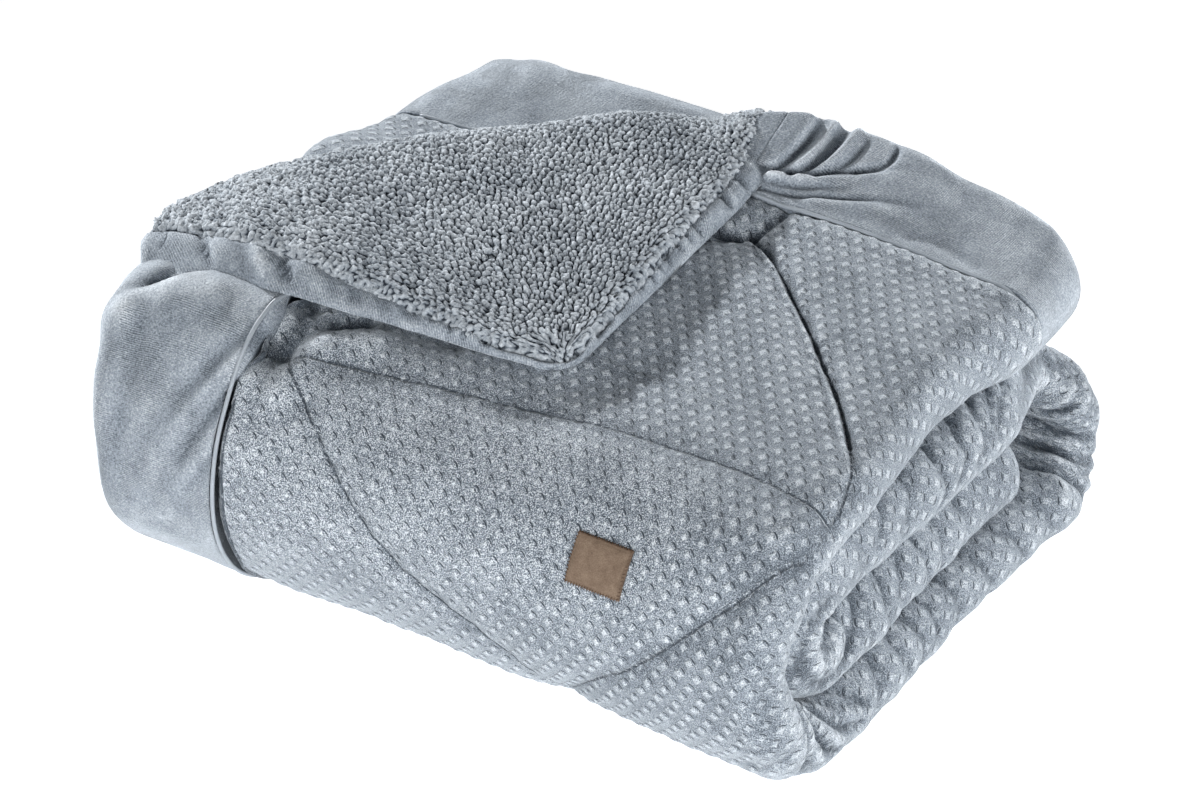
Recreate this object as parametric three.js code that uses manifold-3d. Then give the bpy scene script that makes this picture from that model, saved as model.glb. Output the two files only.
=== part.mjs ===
// A folded comforter: a quilted velvet centre, plain velvet borders with piping in the seams,
// and one corner turned back over the top so that its sherpa lining shows.
// Millimetres, +Z up, X along the bundle, -Y to the front; the origin is under the middle.
import * as THREE from 'three';
import { mergeVertices } from 'three/addons/utils/BufferGeometryUtils.js';
import Module from 'manifold-3d';

const wasm = await Module();
wasm.setup();

// Driving sizes of the folded bundle
const LENGTH = 680;
const DEPTH = 586;
const LAYER = 63;
const LAYER_GAP = 5;
const BORDER = 128;
const SEAM_GAP = 0.5;
const EDGE_THICK = 1.2;
const END_ROUND = 30;

// Heights of the middles of the four layers, bottom to top
const PITCH = LAYER + LAYER_GAP;
const LEVEL_1 = LAYER / 2;
const LEVEL_2 = LEVEL_1 + PITCH;
const LEVEL_3 = LEVEL_2 + PITCH;
const LEVEL_4 = LEVEL_3 + PITCH;
const TOP = LEVEL_4 + LAYER / 2;

// Places across the depth where the folds begin
const FRONT = -DEPTH / 2;
const BACK = DEPTH / 2;
const WRAP_RADIUS = (LEVEL_4 - LEVEL_1) / 2;
const BACK_RADIUS = (LEVEL_3 - LEVEL_1) / 2;
const CURL_RADIUS = (LEVEL_3 - LEVEL_2) / 2;
const WRAP_Y = FRONT + WRAP_RADIUS + LAYER / 2;
const BACK_FOLD_Y = BACK - BACK_RADIUS - LAYER / 2;
const CURL_Y = WRAP_Y;
const LAST_END_Y = BACK_FOLD_Y - 20;

// Places along the length
const LEFT = -LENGTH / 2;
const RIGHT = LENGTH / 2;
const SEAM_X = LEFT + BORDER;
const BAND_SPLIT = 40;
const UNDER_PIPING_END = -196;

// The turned corner in plan: its fold runs from `left` to `back` and bows out, its tip is `tip`
const CORNER = {
  left: new THREE.Vector2(-337, -181),
  back: new THREE.Vector2(57, 268),
  tip: new THREE.Vector2(48, -142),
  bow: 96,
  bowLean: 0.65,
  bowFade: 0.8,
  thick: 32,
  tipRound: 34,
  endDraw: 0.9,
  columns: 12,
};
const CORNER_GAP = 1.5;
const BED_GAP = 0.6;
const UNDER = { step: 20, from: -10, to: 16 };
const ROLL = { behind: 30, ahead: 26, rows: [-26, -16, -4, 8] };
const RIM = 15;
const SHERPA = { thick: 9, inset: 11, rim: 6, rimShare: 0.2, gap: 0.6, clear: 1.5, leftIn: 28 };
const CUT_RISE = 8;

// How the bundle settles: a short, flared front, skewed ends, layers that lean down at the back.
// Each move grows from zero at `fromX`, `fromY` or `fromZ` to `by`; the back hem's crest is a
// `ridge` with a `hump` on it, and the `press` flattens the turned corner towards its back end.
const SETTLE = {
  shortFront: { by: 26 },
  flare: { by: 14 },
  skewLeft: { by: 36, fromX: 60, fromY: -200 },
  lean: { by: 16, fromY: -100 },
  drop: { by: 22, fromX: 130, fromY: 60 },
  ridge: { by: 15, flat: 190, half: 330, fromY: 120 },
  hump: { by: 11, x: 80, flat: 20, half: 110 },
  cornerCut: { left: 26, right: 8, fromX: 240, fromY: 190 },
  reachLeft: { by: 24, fromX: 180, fromZ: 140, toZ: 250, fromY: -120, toY: 60 },
  droop: { by: 12, fromX: 250, fromZ: 180 },
  hip: { by: 13, fromX: 150, fromZ: 75, toZ: 150 },
  press: { share: 0.55, near: 40, far: 230 },
};

// Rounding in plan of the layer's right end at its first and last hem
const HEM_CORNER = { radius: 50, fromX: 200 };

const PIPING = { radius: 2.3, sides: 6, depth: 1.1 };
const GROOVE = { depth: 6.5, width: 12 };
const PATCH = { x: 165, along: 553, width: 58, height: 42, thick: 1.8, lift: 0.9 };

// Stitched lines of the big diamonds, as places along X and down the path from the back hem
const STITCHES = [
  { name: 'front edge', points: [[-188, 496], [-44, 480], [86, 466], [212, 461], [336, 468]] },
  { name: 'left diamond', points: [[-186, 496], [-104, 554], [-34, 602], [58, 650]] },
  { name: 'right diamond', points: [[150, 655], [226, 604], [298, 548], [340, 505]] },
  { name: 'top right', points: [[76, 170], [152, 228], [230, 300], [300, 376], [336, 425]] },
  { name: 'top left', points: [[76, 170], [0, 235], [-90, 330], [-188, 440]] },
];
const QUILT = { depth: 8, width: 24 };
const BASE_LEAD = 60;

const clamp = (value, low, high) => Math.min(high, Math.max(low, value));

// Smooth step from 0 to 1 between two values
const smooth = (value, from, to) => {
  const t = clamp((value - from) / (to - from), 0, 1);
  return t * t * (3 - 2 * t);
};

// Quarter-round profile: 0 at an edge, 1 once the distance reaches the radius
const round = (distance, radius) => {
  const t = 1 - clamp(distance / radius, 0, 1);
  return Math.sqrt(1 - t * t);
};

// The middle line of the layers across the bundle, as straight runs and half-turns.
// It starts at the back hem on top, and its face side is the outside of every turn.
// `reach` is how far each stretch stops short of the right end.
const RUNS = [
  { y: BACK, z: LEVEL_4, length: BACK - WRAP_Y, way: -1, steps: 17, reach: 20 },
  { y: WRAP_Y, z: LEVEL_1 + WRAP_RADIUS, radius: WRAP_RADIUS, start: 90, steps: 13, reach: 4 },
  { y: WRAP_Y, z: LEVEL_1, length: BACK_FOLD_Y - WRAP_Y, way: 1, steps: 7, reach: 6 },
  { y: BACK_FOLD_Y, z: LEVEL_2, radius: BACK_RADIUS, start: -90, steps: 8, reach: 0 },
  { y: BACK_FOLD_Y, z: LEVEL_3, length: BACK_FOLD_Y - CURL_Y, way: -1, steps: 6, reach: 2 },
  { y: CURL_Y, z: LEVEL_2 + CURL_RADIUS, radius: CURL_RADIUS, start: 90, steps: 7, reach: 12 },
  { y: CURL_Y, z: LEVEL_2, length: LAST_END_Y - CURL_Y, way: 1, steps: 6, reach: 14 },
];

for (const run of RUNS) {
  run.length = run.length ?? Math.PI * run.radius;
}

const STARTS = RUNS.map((_, i) => RUNS.slice(0, i).reduce((sum, run) => sum + run.length, 0));
const PATH_LENGTH = STARTS.at(-1) + RUNS.at(-1).length;

function runAt(distance) {
  let i = RUNS.length - 1;
  while (i > 0 && distance < STARTS[i]) {
    i -= 1;
  }
  return i;
}

// Point and face-side normal of the middle line at a distance from the back hem
function pathAt(distance) {
  const i = runAt(distance);
  const run = RUNS[i];
  const along = distance - STARTS[i];
  if (run.way) {
    return { y: run.y + run.way * along, z: run.z, ny: 0, nz: -run.way };
  }
  const angle = THREE.MathUtils.degToRad(run.start) + along / run.radius;
  const ny = Math.cos(angle);
  const nz = Math.sin(angle);
  return { y: run.y + run.radius * ny, z: run.z + run.radius * nz, ny, nz };
}

// How far the layer stops short of the right end, easing from one stretch to the next
function shortOf(distance) {
  const i = runAt(distance);
  const along = (distance - STARTS[i]) / RUNS[i].length;
  const next = RUNS[Math.min(i + 1, RUNS.length - 1)];
  return THREE.MathUtils.lerp(RUNS[i].reach, next.reach, smooth(along, 0.5, 1));
}

// How much the right end is drawn in by its rounding in plan
function hemCorner(distance) {
  const { radius } = HEM_CORNER;
  const past = Math.max(radius - Math.min(distance, PATH_LENGTH - distance), 0);
  return radius - Math.sqrt(radius ** 2 - past ** 2);
}

// The turned corner's own plan: u along the fold from the left end, v towards the tip
const FOLD = CORNER.back.clone().sub(CORNER.left);
const FOLD_LENGTH = FOLD.length();
const ALONG = FOLD.clone().normalize();
const AHEAD = new THREE.Vector2(ALONG.y, -ALONG.x);
const toCorner = (x, y) => {
  const point = new THREE.Vector2(x, y).sub(CORNER.left);
  return { u: point.dot(ALONG), v: point.dot(AHEAD) };
};
const TIP = toCorner(CORNER.tip.x, CORNER.tip.y);
const LEFT_SIDE = Math.hypot(TIP.u, TIP.v);
const BACK_SIDE = Math.hypot(FOLD_LENGTH - TIP.u, TIP.v);

// How far the fold bows out behind the straight line between its ends
function bowAt(u) {
  const along = clamp(u / FOLD_LENGTH, 0, 1) ** CORNER.bowLean;
  return CORNER.bow * Math.sin(Math.PI * along) ** 0.8;
}

function behindFold(x, y) {
  const { u, v } = toCorner(x, y);
  return -v - bowAt(u);
}

// Settles a point of the neat bundle into the lie of the real one; the base stays flat
function settle(x, y, z) {
  const { shortFront, flare, skewLeft, lean, drop, ridge, hump, cornerCut } = SETTLE;
  const { reachLeft, droop, hip, press } = SETTLE;
  const front = (BACK - y) / DEPTH;
  const high = clamp(z / TOP, 0, 1.2);
  const inner = Math.sin(Math.PI * clamp(high, 0, 1));
  const short = shortFront.by * smooth(x, 0, RIGHT) * front;
  const skew = skewLeft.by * smooth(-x, skewLeft.fromX, RIGHT) * smooth(y, skewLeft.fromY, BACK);
  const cutBy = x > 0 ? cornerCut.right : -cornerCut.left;
  const cutIn = smooth(Math.abs(x), cornerCut.fromX, RIGHT) * smooth(y, cornerCut.fromY, BACK);
  const dropped = drop.by * smooth(x, drop.fromX, RIGHT) * smooth(y, drop.fromY, BACK);
  const crest = ridge.by * smooth(-Math.abs(x), -ridge.half, -ridge.flat)
    + hump.by * smooth(-Math.abs(x - hump.x), -hump.half, -hump.flat);
  const raised = crest * smooth(y, ridge.fromY, BACK);
  const towardsFront = 1 - smooth(y, reachLeft.fromY, reachLeft.toY);
  const reached = reachLeft.by * smooth(-x, reachLeft.fromX, RIGHT) * towardsFront
    * smooth(z, reachLeft.fromZ, reachLeft.toZ);
  const drooped = droop.by * smooth(-x, droop.fromX, RIGHT) * towardsFront
    * smooth(z, droop.fromZ, TOP);
  const out = hip.by * smooth(x, hip.fromX, RIGHT) * (1 - smooth(z, hip.fromZ, hip.toZ));
  const fromBackEnd = Math.hypot(x - CORNER.back.x, y - CORNER.back.y);
  const pressed = press.share * Math.max(z - TOP, 0) * (1 - smooth(fromBackEnd, press.near, press.far));
  return new THREE.Vector3(
    x - short + skew - cutBy * cutIn * high - reached + out,
    y - (flare.by * front * x) / RIGHT,
    z - lean.by * inner * smooth(y, lean.fromY, BACK) + (raised - dropped) * high ** 3
      - drooped - pressed,
  );
}

// Where the layer's left part ends: at the bundle's end behind the corner, else at the seam
const TURN_ROW = BACK + 100;
const leftLimit = (distance) => (
  THREE.MathUtils.lerp(LEFT, SEAM_X, clamp((distance - TURN_ROW) / 6, 0, 1))
);

// Depth of the dip along the seams between the centre and the borders
function grooveAt(distance, x) {
  const toBack = distance < STARTS[1] ? Math.abs(distance - BORDER) - SEAM_GAP : GROOVE.width;
  const toLeft = distance > TURN_ROW ? Math.abs(x - SEAM_X) - SEAM_GAP : GROOVE.width;
  return GROOVE.depth * (1 - round(toBack, GROOVE.width) * round(toLeft, GROOVE.width));
}

// Depth of the soft trough that the stitched lines pull into the face
function troughAt(distance, x) {
  let nearest = Infinity;
  for (const { points } of STITCHES) {
    for (let i = 0; i + 1 < points.length; i += 1) {
      const [ax, as] = points[i];
      const [bx, bs] = points[i + 1];
      const span = (bx - ax) ** 2 + (bs - as) ** 2;
      const t = clamp(((x - ax) * (bx - ax) + (distance - as) * (bs - as)) / span, 0, 1);
      const gap = Math.hypot(x - ax - t * (bx - ax), distance - as - t * (bs - as));
      nearest = Math.min(nearest, gap);
    }
  }
  return QUILT.depth * Math.exp(-((nearest / QUILT.width) ** 2));
}

// Half thickness of a layer on its face side (1) or lining side (-1), drawn in at ends and hems
function halfThickness(distance, x, side, grooved) {
  const ends = round(RIGHT - x, END_ROUND) * round(x - LEFT, END_ROUND);
  const hems = round(distance, END_ROUND) * round(PATH_LENGTH - distance, END_ROUND);
  const full = (LAYER / 2 - EDGE_THICK) * ends * hems;
  if (side < 0) {
    return full + EDGE_THICK;
  }
  const onTop = distance < STARTS[1];
  const behind = behindFold(x, pathAt(distance).y);
  const under = onTop ? UNDER.step * smooth(behind, UNDER.from, UNDER.to) : 0;
  const dip = grooved ? grooveAt(distance, x) : 0;
  const onBase = distance > STARTS[2] - BASE_LEAD && distance < STARTS[3];
  const quilted = distance > BORDER && x > SEAM_X && !onBase;
  const trough = quilted ? troughAt(distance, x) : 0;
  return full + EDGE_THICK - (under + dip + trough) * ends * hems;
}

// Point of a layer at a height over its face, or on its lining side
function layerPoint(distance, x, side, lift = 0, grooved = true) {
  const { y, z, ny, nz } = pathAt(distance);
  const half = halfThickness(distance, x, side, grooved) * side + lift;
  const end = x - shortOf(distance) * smooth(x, 0, RIGHT)
    - hemCorner(distance) * smooth(x, HEM_CORNER.fromX, RIGHT);
  return settle(end, y + ny * half, z + nz * half);
}

// Turns a closed geometry's faces to the outside
function outward(geometry) {
  const at = geometry.attributes.position;
  const index = geometry.index.array;
  const a = new THREE.Vector3();
  const b = new THREE.Vector3();
  const c = new THREE.Vector3();
  let volume = 0;
  for (let i = 0; i < index.length; i += 3) {
    a.fromBufferAttribute(at, index[i]);
    b.fromBufferAttribute(at, index[i + 1]);
    c.fromBufferAttribute(at, index[i + 2]);
    volume += a.dot(b.cross(c));
  }
  if (volume < 0) {
    for (let i = 0; i < index.length; i += 3) {
      [index[i + 1], index[i + 2]] = [index[i + 2], index[i + 1]];
    }
  }
  geometry.computeVertexNormals();
  return geometry;
}

// Closed solid between two like grids of points, with a rim all round
function solidBetween(face, lining) {
  const rows = face.length;
  const cols = face[0].length;
  const index = [];
  const quad = (a, b, c, d) => index.push(a, b, c, a, c, d);
  const f = (i, j) => i * cols + j;
  const l = (i, j) => rows * cols + i * cols + j;
  for (let i = 0; i + 1 < rows; i += 1) {
    for (let j = 0; j + 1 < cols; j += 1) {
      quad(f(i, j), f(i + 1, j), f(i + 1, j + 1), f(i, j + 1));
      quad(l(i, j), l(i, j + 1), l(i + 1, j + 1), l(i + 1, j));
    }
    quad(f(i, 0), l(i, 0), l(i + 1, 0), f(i + 1, 0));
    quad(f(i + 1, cols - 1), l(i + 1, cols - 1), l(i, cols - 1), f(i, cols - 1));
  }
  for (let j = 0; j + 1 < cols; j += 1) {
    quad(f(0, j + 1), l(0, j + 1), l(0, j), f(0, j));
    quad(f(rows - 1, j), l(rows - 1, j), l(rows - 1, j + 1), f(rows - 1, j + 1));
  }
  const geometry = new THREE.BufferGeometry().setFromPoints([...face.flat(), ...lining.flat()]);
  geometry.setIndex(index);
  return outward(geometry);
}

// Evenly spread values with a closer set at either end
function spread(from, to, step, nearFrom = [0], nearTo = [0]) {
  const first = nearFrom.map((d) => from + d);
  const last = nearTo.map((d) => to - d).reverse();
  const span = last[0] - first.at(-1);
  const count = Math.max(1, Math.round(span / step));
  const middle = Array.from({ length: count - 1 }, (_, k) => (
    first.at(-1) + (span * (k + 1)) / count
  ));
  return [...first, ...middle, ...last];
}

const END_STEPS = [0, 2, 8, 18, END_ROUND];
const SEAM_STEPS = [0, 2, 7, GROOVE.width];
const PANEL_STEP = 30;
const PANEL_COLUMNS = 18;

// Stations down the path after the back border, and those of the left border
const topRows = spread(BORDER, TURN_ROW, 24, SEAM_STEPS);
const wrapRows = [
  ...spread(TURN_ROW + 6, STARTS[1], 24),
  ...RUNS.slice(1).flatMap((run, i) => (
    Array.from({ length: run.steps }, (_, k) => STARTS[i + 1] + (run.length * (k + 1)) / run.steps)
  )),
];
const lastHem = END_STEPS.slice(0, -1).map((d) => PATH_LENGTH - d).reverse();
const foldedRows = [...wrapRows.filter((s) => s < PATH_LENGTH - END_ROUND), ...lastHem];
const bandRows = spread(0, BORDER - SEAM_GAP, PANEL_STEP, END_STEPS, SEAM_STEPS);

function layerSolid(rows, columnsAt) {
  const grid = (side) => rows.map((s) => columnsAt(s).map((x) => layerPoint(s, x, side)));
  return solidBetween(grid(1), grid(-1));
}

function quiltedCentre() {
  const columnsAt = (s) => {
    const from = leftLimit(s);
    const step = (RIGHT - from - 2 * END_ROUND) / PANEL_COLUMNS;
    return spread(from, RIGHT, step, END_STEPS, END_STEPS);
  };
  return layerSolid([...topRows, ...foldedRows], columnsAt);
}

function leftBorder() {
  const xs = spread(LEFT, SEAM_X - SEAM_GAP, PANEL_STEP, END_STEPS, SEAM_STEPS);
  return layerSolid(foldedRows.map((s, i) => (i ? s : s + SEAM_GAP)), () => xs);
}

// The strip along the back hem over stations across the bundle
function backBand(xs) {
  return layerSolid(bandRows, () => xs);
}

// Tube along a chain of points
function tubeAlong(points, steps) {
  const path = new THREE.CurvePath();
  for (let i = 0; i + 1 < points.length; i += 1) {
    path.add(new THREE.LineCurve3(points[i], points[i + 1]));
  }
  const shape = new THREE.Shape();
  for (let i = 0; i < PIPING.sides; i += 1) {
    const angle = (i / PIPING.sides) * 2 * Math.PI;
    const x = PIPING.radius * Math.cos(angle);
    const y = PIPING.radius * Math.sin(angle);
    shape[i ? 'lineTo' : 'moveTo'](x, y);
  }
  return new THREE.ExtrudeGeometry(shape, { steps, bevelEnabled: false, extrudePath: path });
}

function pipingAt(distance, x) {
  return layerPoint(distance, x, 1, -PIPING.depth, false);
}

// Centre of the round at the corner's tip
const tipCentre = (() => {
  const toLeft = new THREE.Vector2(-TIP.u, -TIP.v).normalize();
  const toBack = new THREE.Vector2(FOLD_LENGTH - TIP.u, -TIP.v).normalize();
  const half = Math.acos(toLeft.dot(toBack)) / 2;
  const inward = toLeft.clone().add(toBack).normalize();
  return new THREE.Vector2(TIP.u, TIP.v).addScaledVector(inward, CORNER.tipRound / Math.sin(half));
})();
const LEFT_SLANT = LEFT_SIDE / TIP.v;
const BACK_SLANT = BACK_SIDE / TIP.v;

// The corner's straight outer edges at a distance from its fold; behind it the left end draws in
const leftEdge = (v) => (Math.max(v, 0) * TIP.u) / TIP.v + CORNER.endDraw * Math.max(-v, 0);
const backEdge = (v) => FOLD_LENGTH - (Math.max(v, 0) * (FOLD_LENGTH - TIP.u)) / TIP.v;

// Both ends of the corner across at a distance from its fold, drawn in by an inset
function cornerSpan(v, inset) {
  const reach = CORNER.tipRound - inset;
  const half = Math.sqrt(Math.max(reach ** 2 - (v - tipCentre.y) ** 2, 4));
  const leftTangent = tipCentre.y + (reach * TIP.u) / LEFT_SIDE;
  const backTangent = tipCentre.y + (reach * (FOLD_LENGTH - TIP.u)) / BACK_SIDE;
  return {
    from: v > leftTangent ? tipCentre.x - half : leftEdge(v) + inset * LEFT_SLANT,
    to: v > backTangent ? tipCentre.x + half : backEdge(v) - inset * BACK_SLANT,
  };
}

// Distance in from the corner's outer edges, drawn in by an inset
function edgeDistance(u, v, inset) {
  const reach = CORNER.tipRound - inset;
  const toLeft = (u - leftEdge(v)) / LEFT_SLANT - inset;
  const toBack = (backEdge(v) - u) / BACK_SLANT - inset;
  if (toLeft < reach && toBack < reach) {
    return Math.max(0, reach - Math.hypot(u - tipCentre.x, v - tipCentre.y));
  }
  return Math.max(0, Math.min(toLeft, toBack));
}

// Height of the outer surface, or of a layer inside it, over a row of the corner
function cornerHigh(row, inside) {
  const foot = TOP - UNDER.step + CORNER_GAP;
  const reach = ROLL.ahead + ROLL.behind - inside;
  const t = clamp((ROLL.ahead - row) / reach, 0, 1);
  return foot + (UNDER.step + CORNER.thick - inside) * Math.sqrt(1 - t * t);
}

function cornerLow(row) {
  return TOP - UNDER.step * smooth(-row, UNDER.from, UNDER.to) + CORNER_GAP;
}

// Places a point of the corner; rows near the fold bow out with it
function cornerPoint(u, row, height) {
  const { from, to } = cornerSpan(row, 0);
  const bow = bowAt((FOLD_LENGTH * (u - from)) / (to - from));
  const v = row - bow * (1 - smooth(row, 0, CORNER.bowFade * TIP.v));
  const x = CORNER.left.x + u * ALONG.x + v * AHEAD.x;
  const y = CORNER.left.y + u * ALONG.y + v * AHEAD.y;
  return settle(x, y, height);
}

// Closed solid over the corner's rows, drawn in by an inset, between two height functions.
// Its left end is drawn in further near the fold. Its outermost rows and stations may grow
// outwards; the inner ones stay where they are.
function cornerSolid(rows, inset, rimSteps, highAt, lowAt, leftIn = 0, grow = 0) {
  const grid = (heightAt) => rows.map((row, i) => {
    const { from: edge, to } = cornerSpan(row, inset);
    const from = edge + leftIn * (1 - smooth(row, 0, ROLL.ahead * 2));
    const share = Math.min(1, (to - from) / (4 * rimSteps.at(-1) * BACK_SLANT));
    const left = rimSteps.map((d) => d * LEFT_SLANT * share);
    const right = rimSteps.map((d) => d * BACK_SLANT * share);
    const inner = to - from - left.at(-1) - right.at(-1);
    const us = spread(from, to, inner / CORNER.columns, left, right);
    us[0] -= grow * LEFT_SLANT;
    us[us.length - 1] += grow * BACK_SLANT;
    const outer = Number(i === rows.length - 1) - Number(i === 0);
    const placed = row + grow * outer;
    return us.map((u) => cornerPoint(u, placed, heightAt(u, placed)));
  });
  return solidBetween(grid(highAt), grid(lowAt));
}

// Rows from behind the fold to the tip, the last ones as shares of the tip's round
function cornerRows(tipShares, inset) {
  const tip = tipShares.map((share) => tipCentre.y + share * (CORNER.tipRound - inset));
  return [...ROLL.rows, ...spread(ROLL.ahead, tipCentre.y, 30), ...tip];
}

// The corner's filled body, rounded at its outer edges
function cornerBody() {
  const section = (side) => (u, row) => {
    const low = cornerLow(row);
    const high = Math.max(cornerHigh(row, 0), low + EDGE_THICK);
    const half = ((high - low) / 2) * round(edgeDistance(u, row, 0), RIM);
    return (low + high) / 2 + side * Math.max(half, EDGE_THICK / 2);
  };
  const rows = [-ROLL.behind, ...cornerRows([0.45, 0.75, 0.9, 0.97, 0.995], 0)];
  return cornerSolid(rows, 0, [0, 2, 7, RIM, RIM + 8], section(1), section(-1));
}

// The lining on the corner: a pile-deep sheet that also wraps the fold
function sherpa(grow) {
  const lowAt = (u, row) => (
    Math.max(cornerHigh(row, SHERPA.thick), cornerLow(row) + EDGE_THICK) + SHERPA.gap - grow
  );
  const highAt = (u, row) => {
    const low = lowAt(u, row);
    const full = Math.max(cornerHigh(row, 0) - low, EDGE_THICK);
    const leftIn = SHERPA.leftIn * (1 - smooth(row, 0, ROLL.ahead * 2));
    const fromEdge = edgeDistance(u - leftIn * Number(u < tipCentre.x), row, SHERPA.inset);
    const share = Math.max(round(fromEdge, SHERPA.rim), SHERPA.rimShare);
    return low + full * share + CUT_RISE * grow;
  };
  const rows = [-ROLL.behind, ...cornerRows([0.5, 0.85, 0.99], SHERPA.inset)];
  const rimSteps = [0, SHERPA.rim * 0.4, SHERPA.rim];
  return cornerSolid(rows, SHERPA.inset, rimSteps, highAt, lowAt, SHERPA.leftIn, grow);
}

function toManifold(geometry) {
  const plain = new THREE.BufferGeometry();
  plain.setAttribute('position', geometry.attributes.position.clone());
  plain.setIndex(geometry.index);
  const merged = mergeVertices(plain, 1e-4);
  return new wasm.Manifold(new wasm.Mesh({
    numProp: 3,
    vertProperties: Float32Array.from(merged.attributes.position.array),
    triVerts: Uint32Array.from(merged.index.array),
  }));
}

// The first solid with the others cut out of it; crumbs that come loose are dropped
function cut(geometry, ...tools) {
  const left = tools.reduce((solid, tool) => solid.subtract(toManifold(tool)), toManifold(geometry));
  const largest = left.decompose().reduce((a, b) => (b.volume() > a.volume() ? b : a));
  const mesh = largest.getMesh();
  const result = new THREE.BufferGeometry();
  result.setAttribute('position', new THREE.BufferAttribute(mesh.vertProperties, 3));
  result.setIndex(Array.from(mesh.triVerts));
  result.computeVertexNormals();
  return result;
}

// The bare label patch, lying on the front of the wrap
function patchSolid() {
  const face = 1 + LAYER / 2 / WRAP_RADIUS;
  const rows = spread(-PATCH.height / 2, PATCH.height / 2, 11);
  const xs = spread(-PATCH.width / 2, PATCH.width / 2, 20);
  const grid = (lift) => rows.map((row) => xs.map((x) => (
    layerPoint(PATCH.along + row / face, PATCH.x + x, 1, lift)
  )));
  return solidBetween(grid(PATCH.lift + PATCH.thick), grid(PATCH.lift));
}

function leftPiping() {
  const from = TURN_ROW + 12;
  const to = STARTS[2] - 40;
  const stations = [from, ...foldedRows.filter((s) => s > from && s < to)];
  return tubeAlong(stations.map((s) => pipingAt(s, SEAM_X - SEAM_GAP / 2)), 44);
}

function backPiping(from, to, steps) {
  const stations = spread(from, to, PANEL_STEP);
  return tubeAlong(stations.map((x) => pipingAt(BORDER - SEAM_GAP / 2, x)), steps);
}

const group = new THREE.Group();
function addPart(name, geometry, color, roughness) {
  const material = new THREE.MeshStandardMaterial({ color, roughness, metalness: 0 });
  const mesh = new THREE.Mesh(geometry, material);
  mesh.name = name;
  group.add(mesh);
  return mesh;
}

const VELVET = 0xa9b4c0;
const PLAIN = 0xb3bfcb;

const centre = quiltedCentre();
const sideBand = leftBorder();
const underXs = spread(LEFT, BAND_SPLIT - SEAM_GAP, PANEL_STEP, END_STEPS, [0]);
const backXs = spread(BAND_SPLIT, RIGHT, PANEL_STEP, [0], END_STEPS);

// What the turned corner lies on, raised a little
const bed = [centre, sideBand, backBand([...underXs, ...backXs])].map((solid) => (
  solid.clone().translate(0, 0, BED_GAP)
));

addPart('quilted_centre', centre, VELVET, 0.85);
addPart('border_left', sideBand, PLAIN, 0.8);
addPart('border_under', backBand(underXs), PLAIN, 0.8);
addPart('border_back', backBand(backXs), PLAIN, 0.8);
addPart('turned_corner', cut(cornerBody(), sherpa(SHERPA.clear), ...bed), PLAIN, 0.8);
addPart('sherpa_lining', cut(sherpa(0), ...bed), 0xaab6c3, 0.95);
addPart('piping_left', leftPiping(), 0x93a2b2, 0.45);
addPart('piping_under', backPiping(LEFT + END_ROUND, UNDER_PIPING_END, 12), 0x93a2b2, 0.45);
addPart('piping_back', backPiping(BAND_SPLIT, RIGHT - END_ROUND, 20), 0x93a2b2, 0.45);
addPart('patch', patchSolid(), 0x7a6455, 0.6);

// Brings the origin under the middle of the bundle, on the surface it rests on
const box = new THREE.Box3().setFromObject(group);
const middle = box.getCenter(new THREE.Vector3());
group.children.forEach((mesh) => mesh.geometry.translate(-middle.x, -middle.y, -box.min.z));

export default group;
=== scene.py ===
import math

import bpy
import numpy as np
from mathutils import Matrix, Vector


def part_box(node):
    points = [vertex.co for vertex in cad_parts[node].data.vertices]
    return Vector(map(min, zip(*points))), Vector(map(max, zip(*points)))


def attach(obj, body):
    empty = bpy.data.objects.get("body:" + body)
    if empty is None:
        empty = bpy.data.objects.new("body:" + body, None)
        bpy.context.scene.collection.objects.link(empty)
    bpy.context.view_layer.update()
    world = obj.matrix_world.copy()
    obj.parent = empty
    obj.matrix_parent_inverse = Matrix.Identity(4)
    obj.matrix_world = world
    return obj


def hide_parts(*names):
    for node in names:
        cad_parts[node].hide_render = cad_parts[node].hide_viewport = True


# A folded comforter: embossed quilted centre, plain piped borders and a corner turned back so
# that its sherpa lining shows. Sizes are in millimetres, and meshes are made in metres.
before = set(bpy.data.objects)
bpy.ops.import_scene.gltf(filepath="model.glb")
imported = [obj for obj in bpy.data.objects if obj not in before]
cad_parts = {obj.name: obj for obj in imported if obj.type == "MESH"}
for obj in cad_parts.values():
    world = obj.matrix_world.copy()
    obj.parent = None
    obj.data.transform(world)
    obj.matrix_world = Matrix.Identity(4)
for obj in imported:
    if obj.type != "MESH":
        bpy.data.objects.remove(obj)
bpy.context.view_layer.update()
MM = 0.001
COARSER = 1.0

# Sizes of the folded bundle, as in the frame
LENGTH, DEPTH, LAYER, LAYER_GAP, BORDER = 680.0, 586.0, 63.0, 5.0, 128.0
SEAM_GAP, EDGE_THICK, END_ROUND, HEM_ROUND = 0.5, 1.2, 30.0, 50.0
PITCH = LAYER + LAYER_GAP
LEVEL_1, LEVEL_2, LEVEL_3, LEVEL_4 = (LAYER / 2 + PITCH * k for k in range(4))
TOP = LEVEL_4 + LAYER / 2
FRONT, BACK, LEFT, RIGHT = -DEPTH / 2, DEPTH / 2, -LENGTH / 2, LENGTH / 2
WRAP_RADIUS, BACK_RADIUS, CURL_RADIUS = 1.5 * PITCH, PITCH, PITCH / 2
WRAP_Y = FRONT + WRAP_RADIUS + LAYER / 2
BACK_FOLD_Y = BACK - BACK_RADIUS - LAYER / 2
LAST_END_Y = BACK_FOLD_Y - 20
SEAM_X = LEFT + BORDER
# Where the two back borders meet, and the row down the path from which the left border begins
BAND_SPLIT = 40.0
TURN_ROW = BACK + 100
# The centre is made in two pieces, which meet at this place down the path
OUTER_END = 800.0

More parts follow.
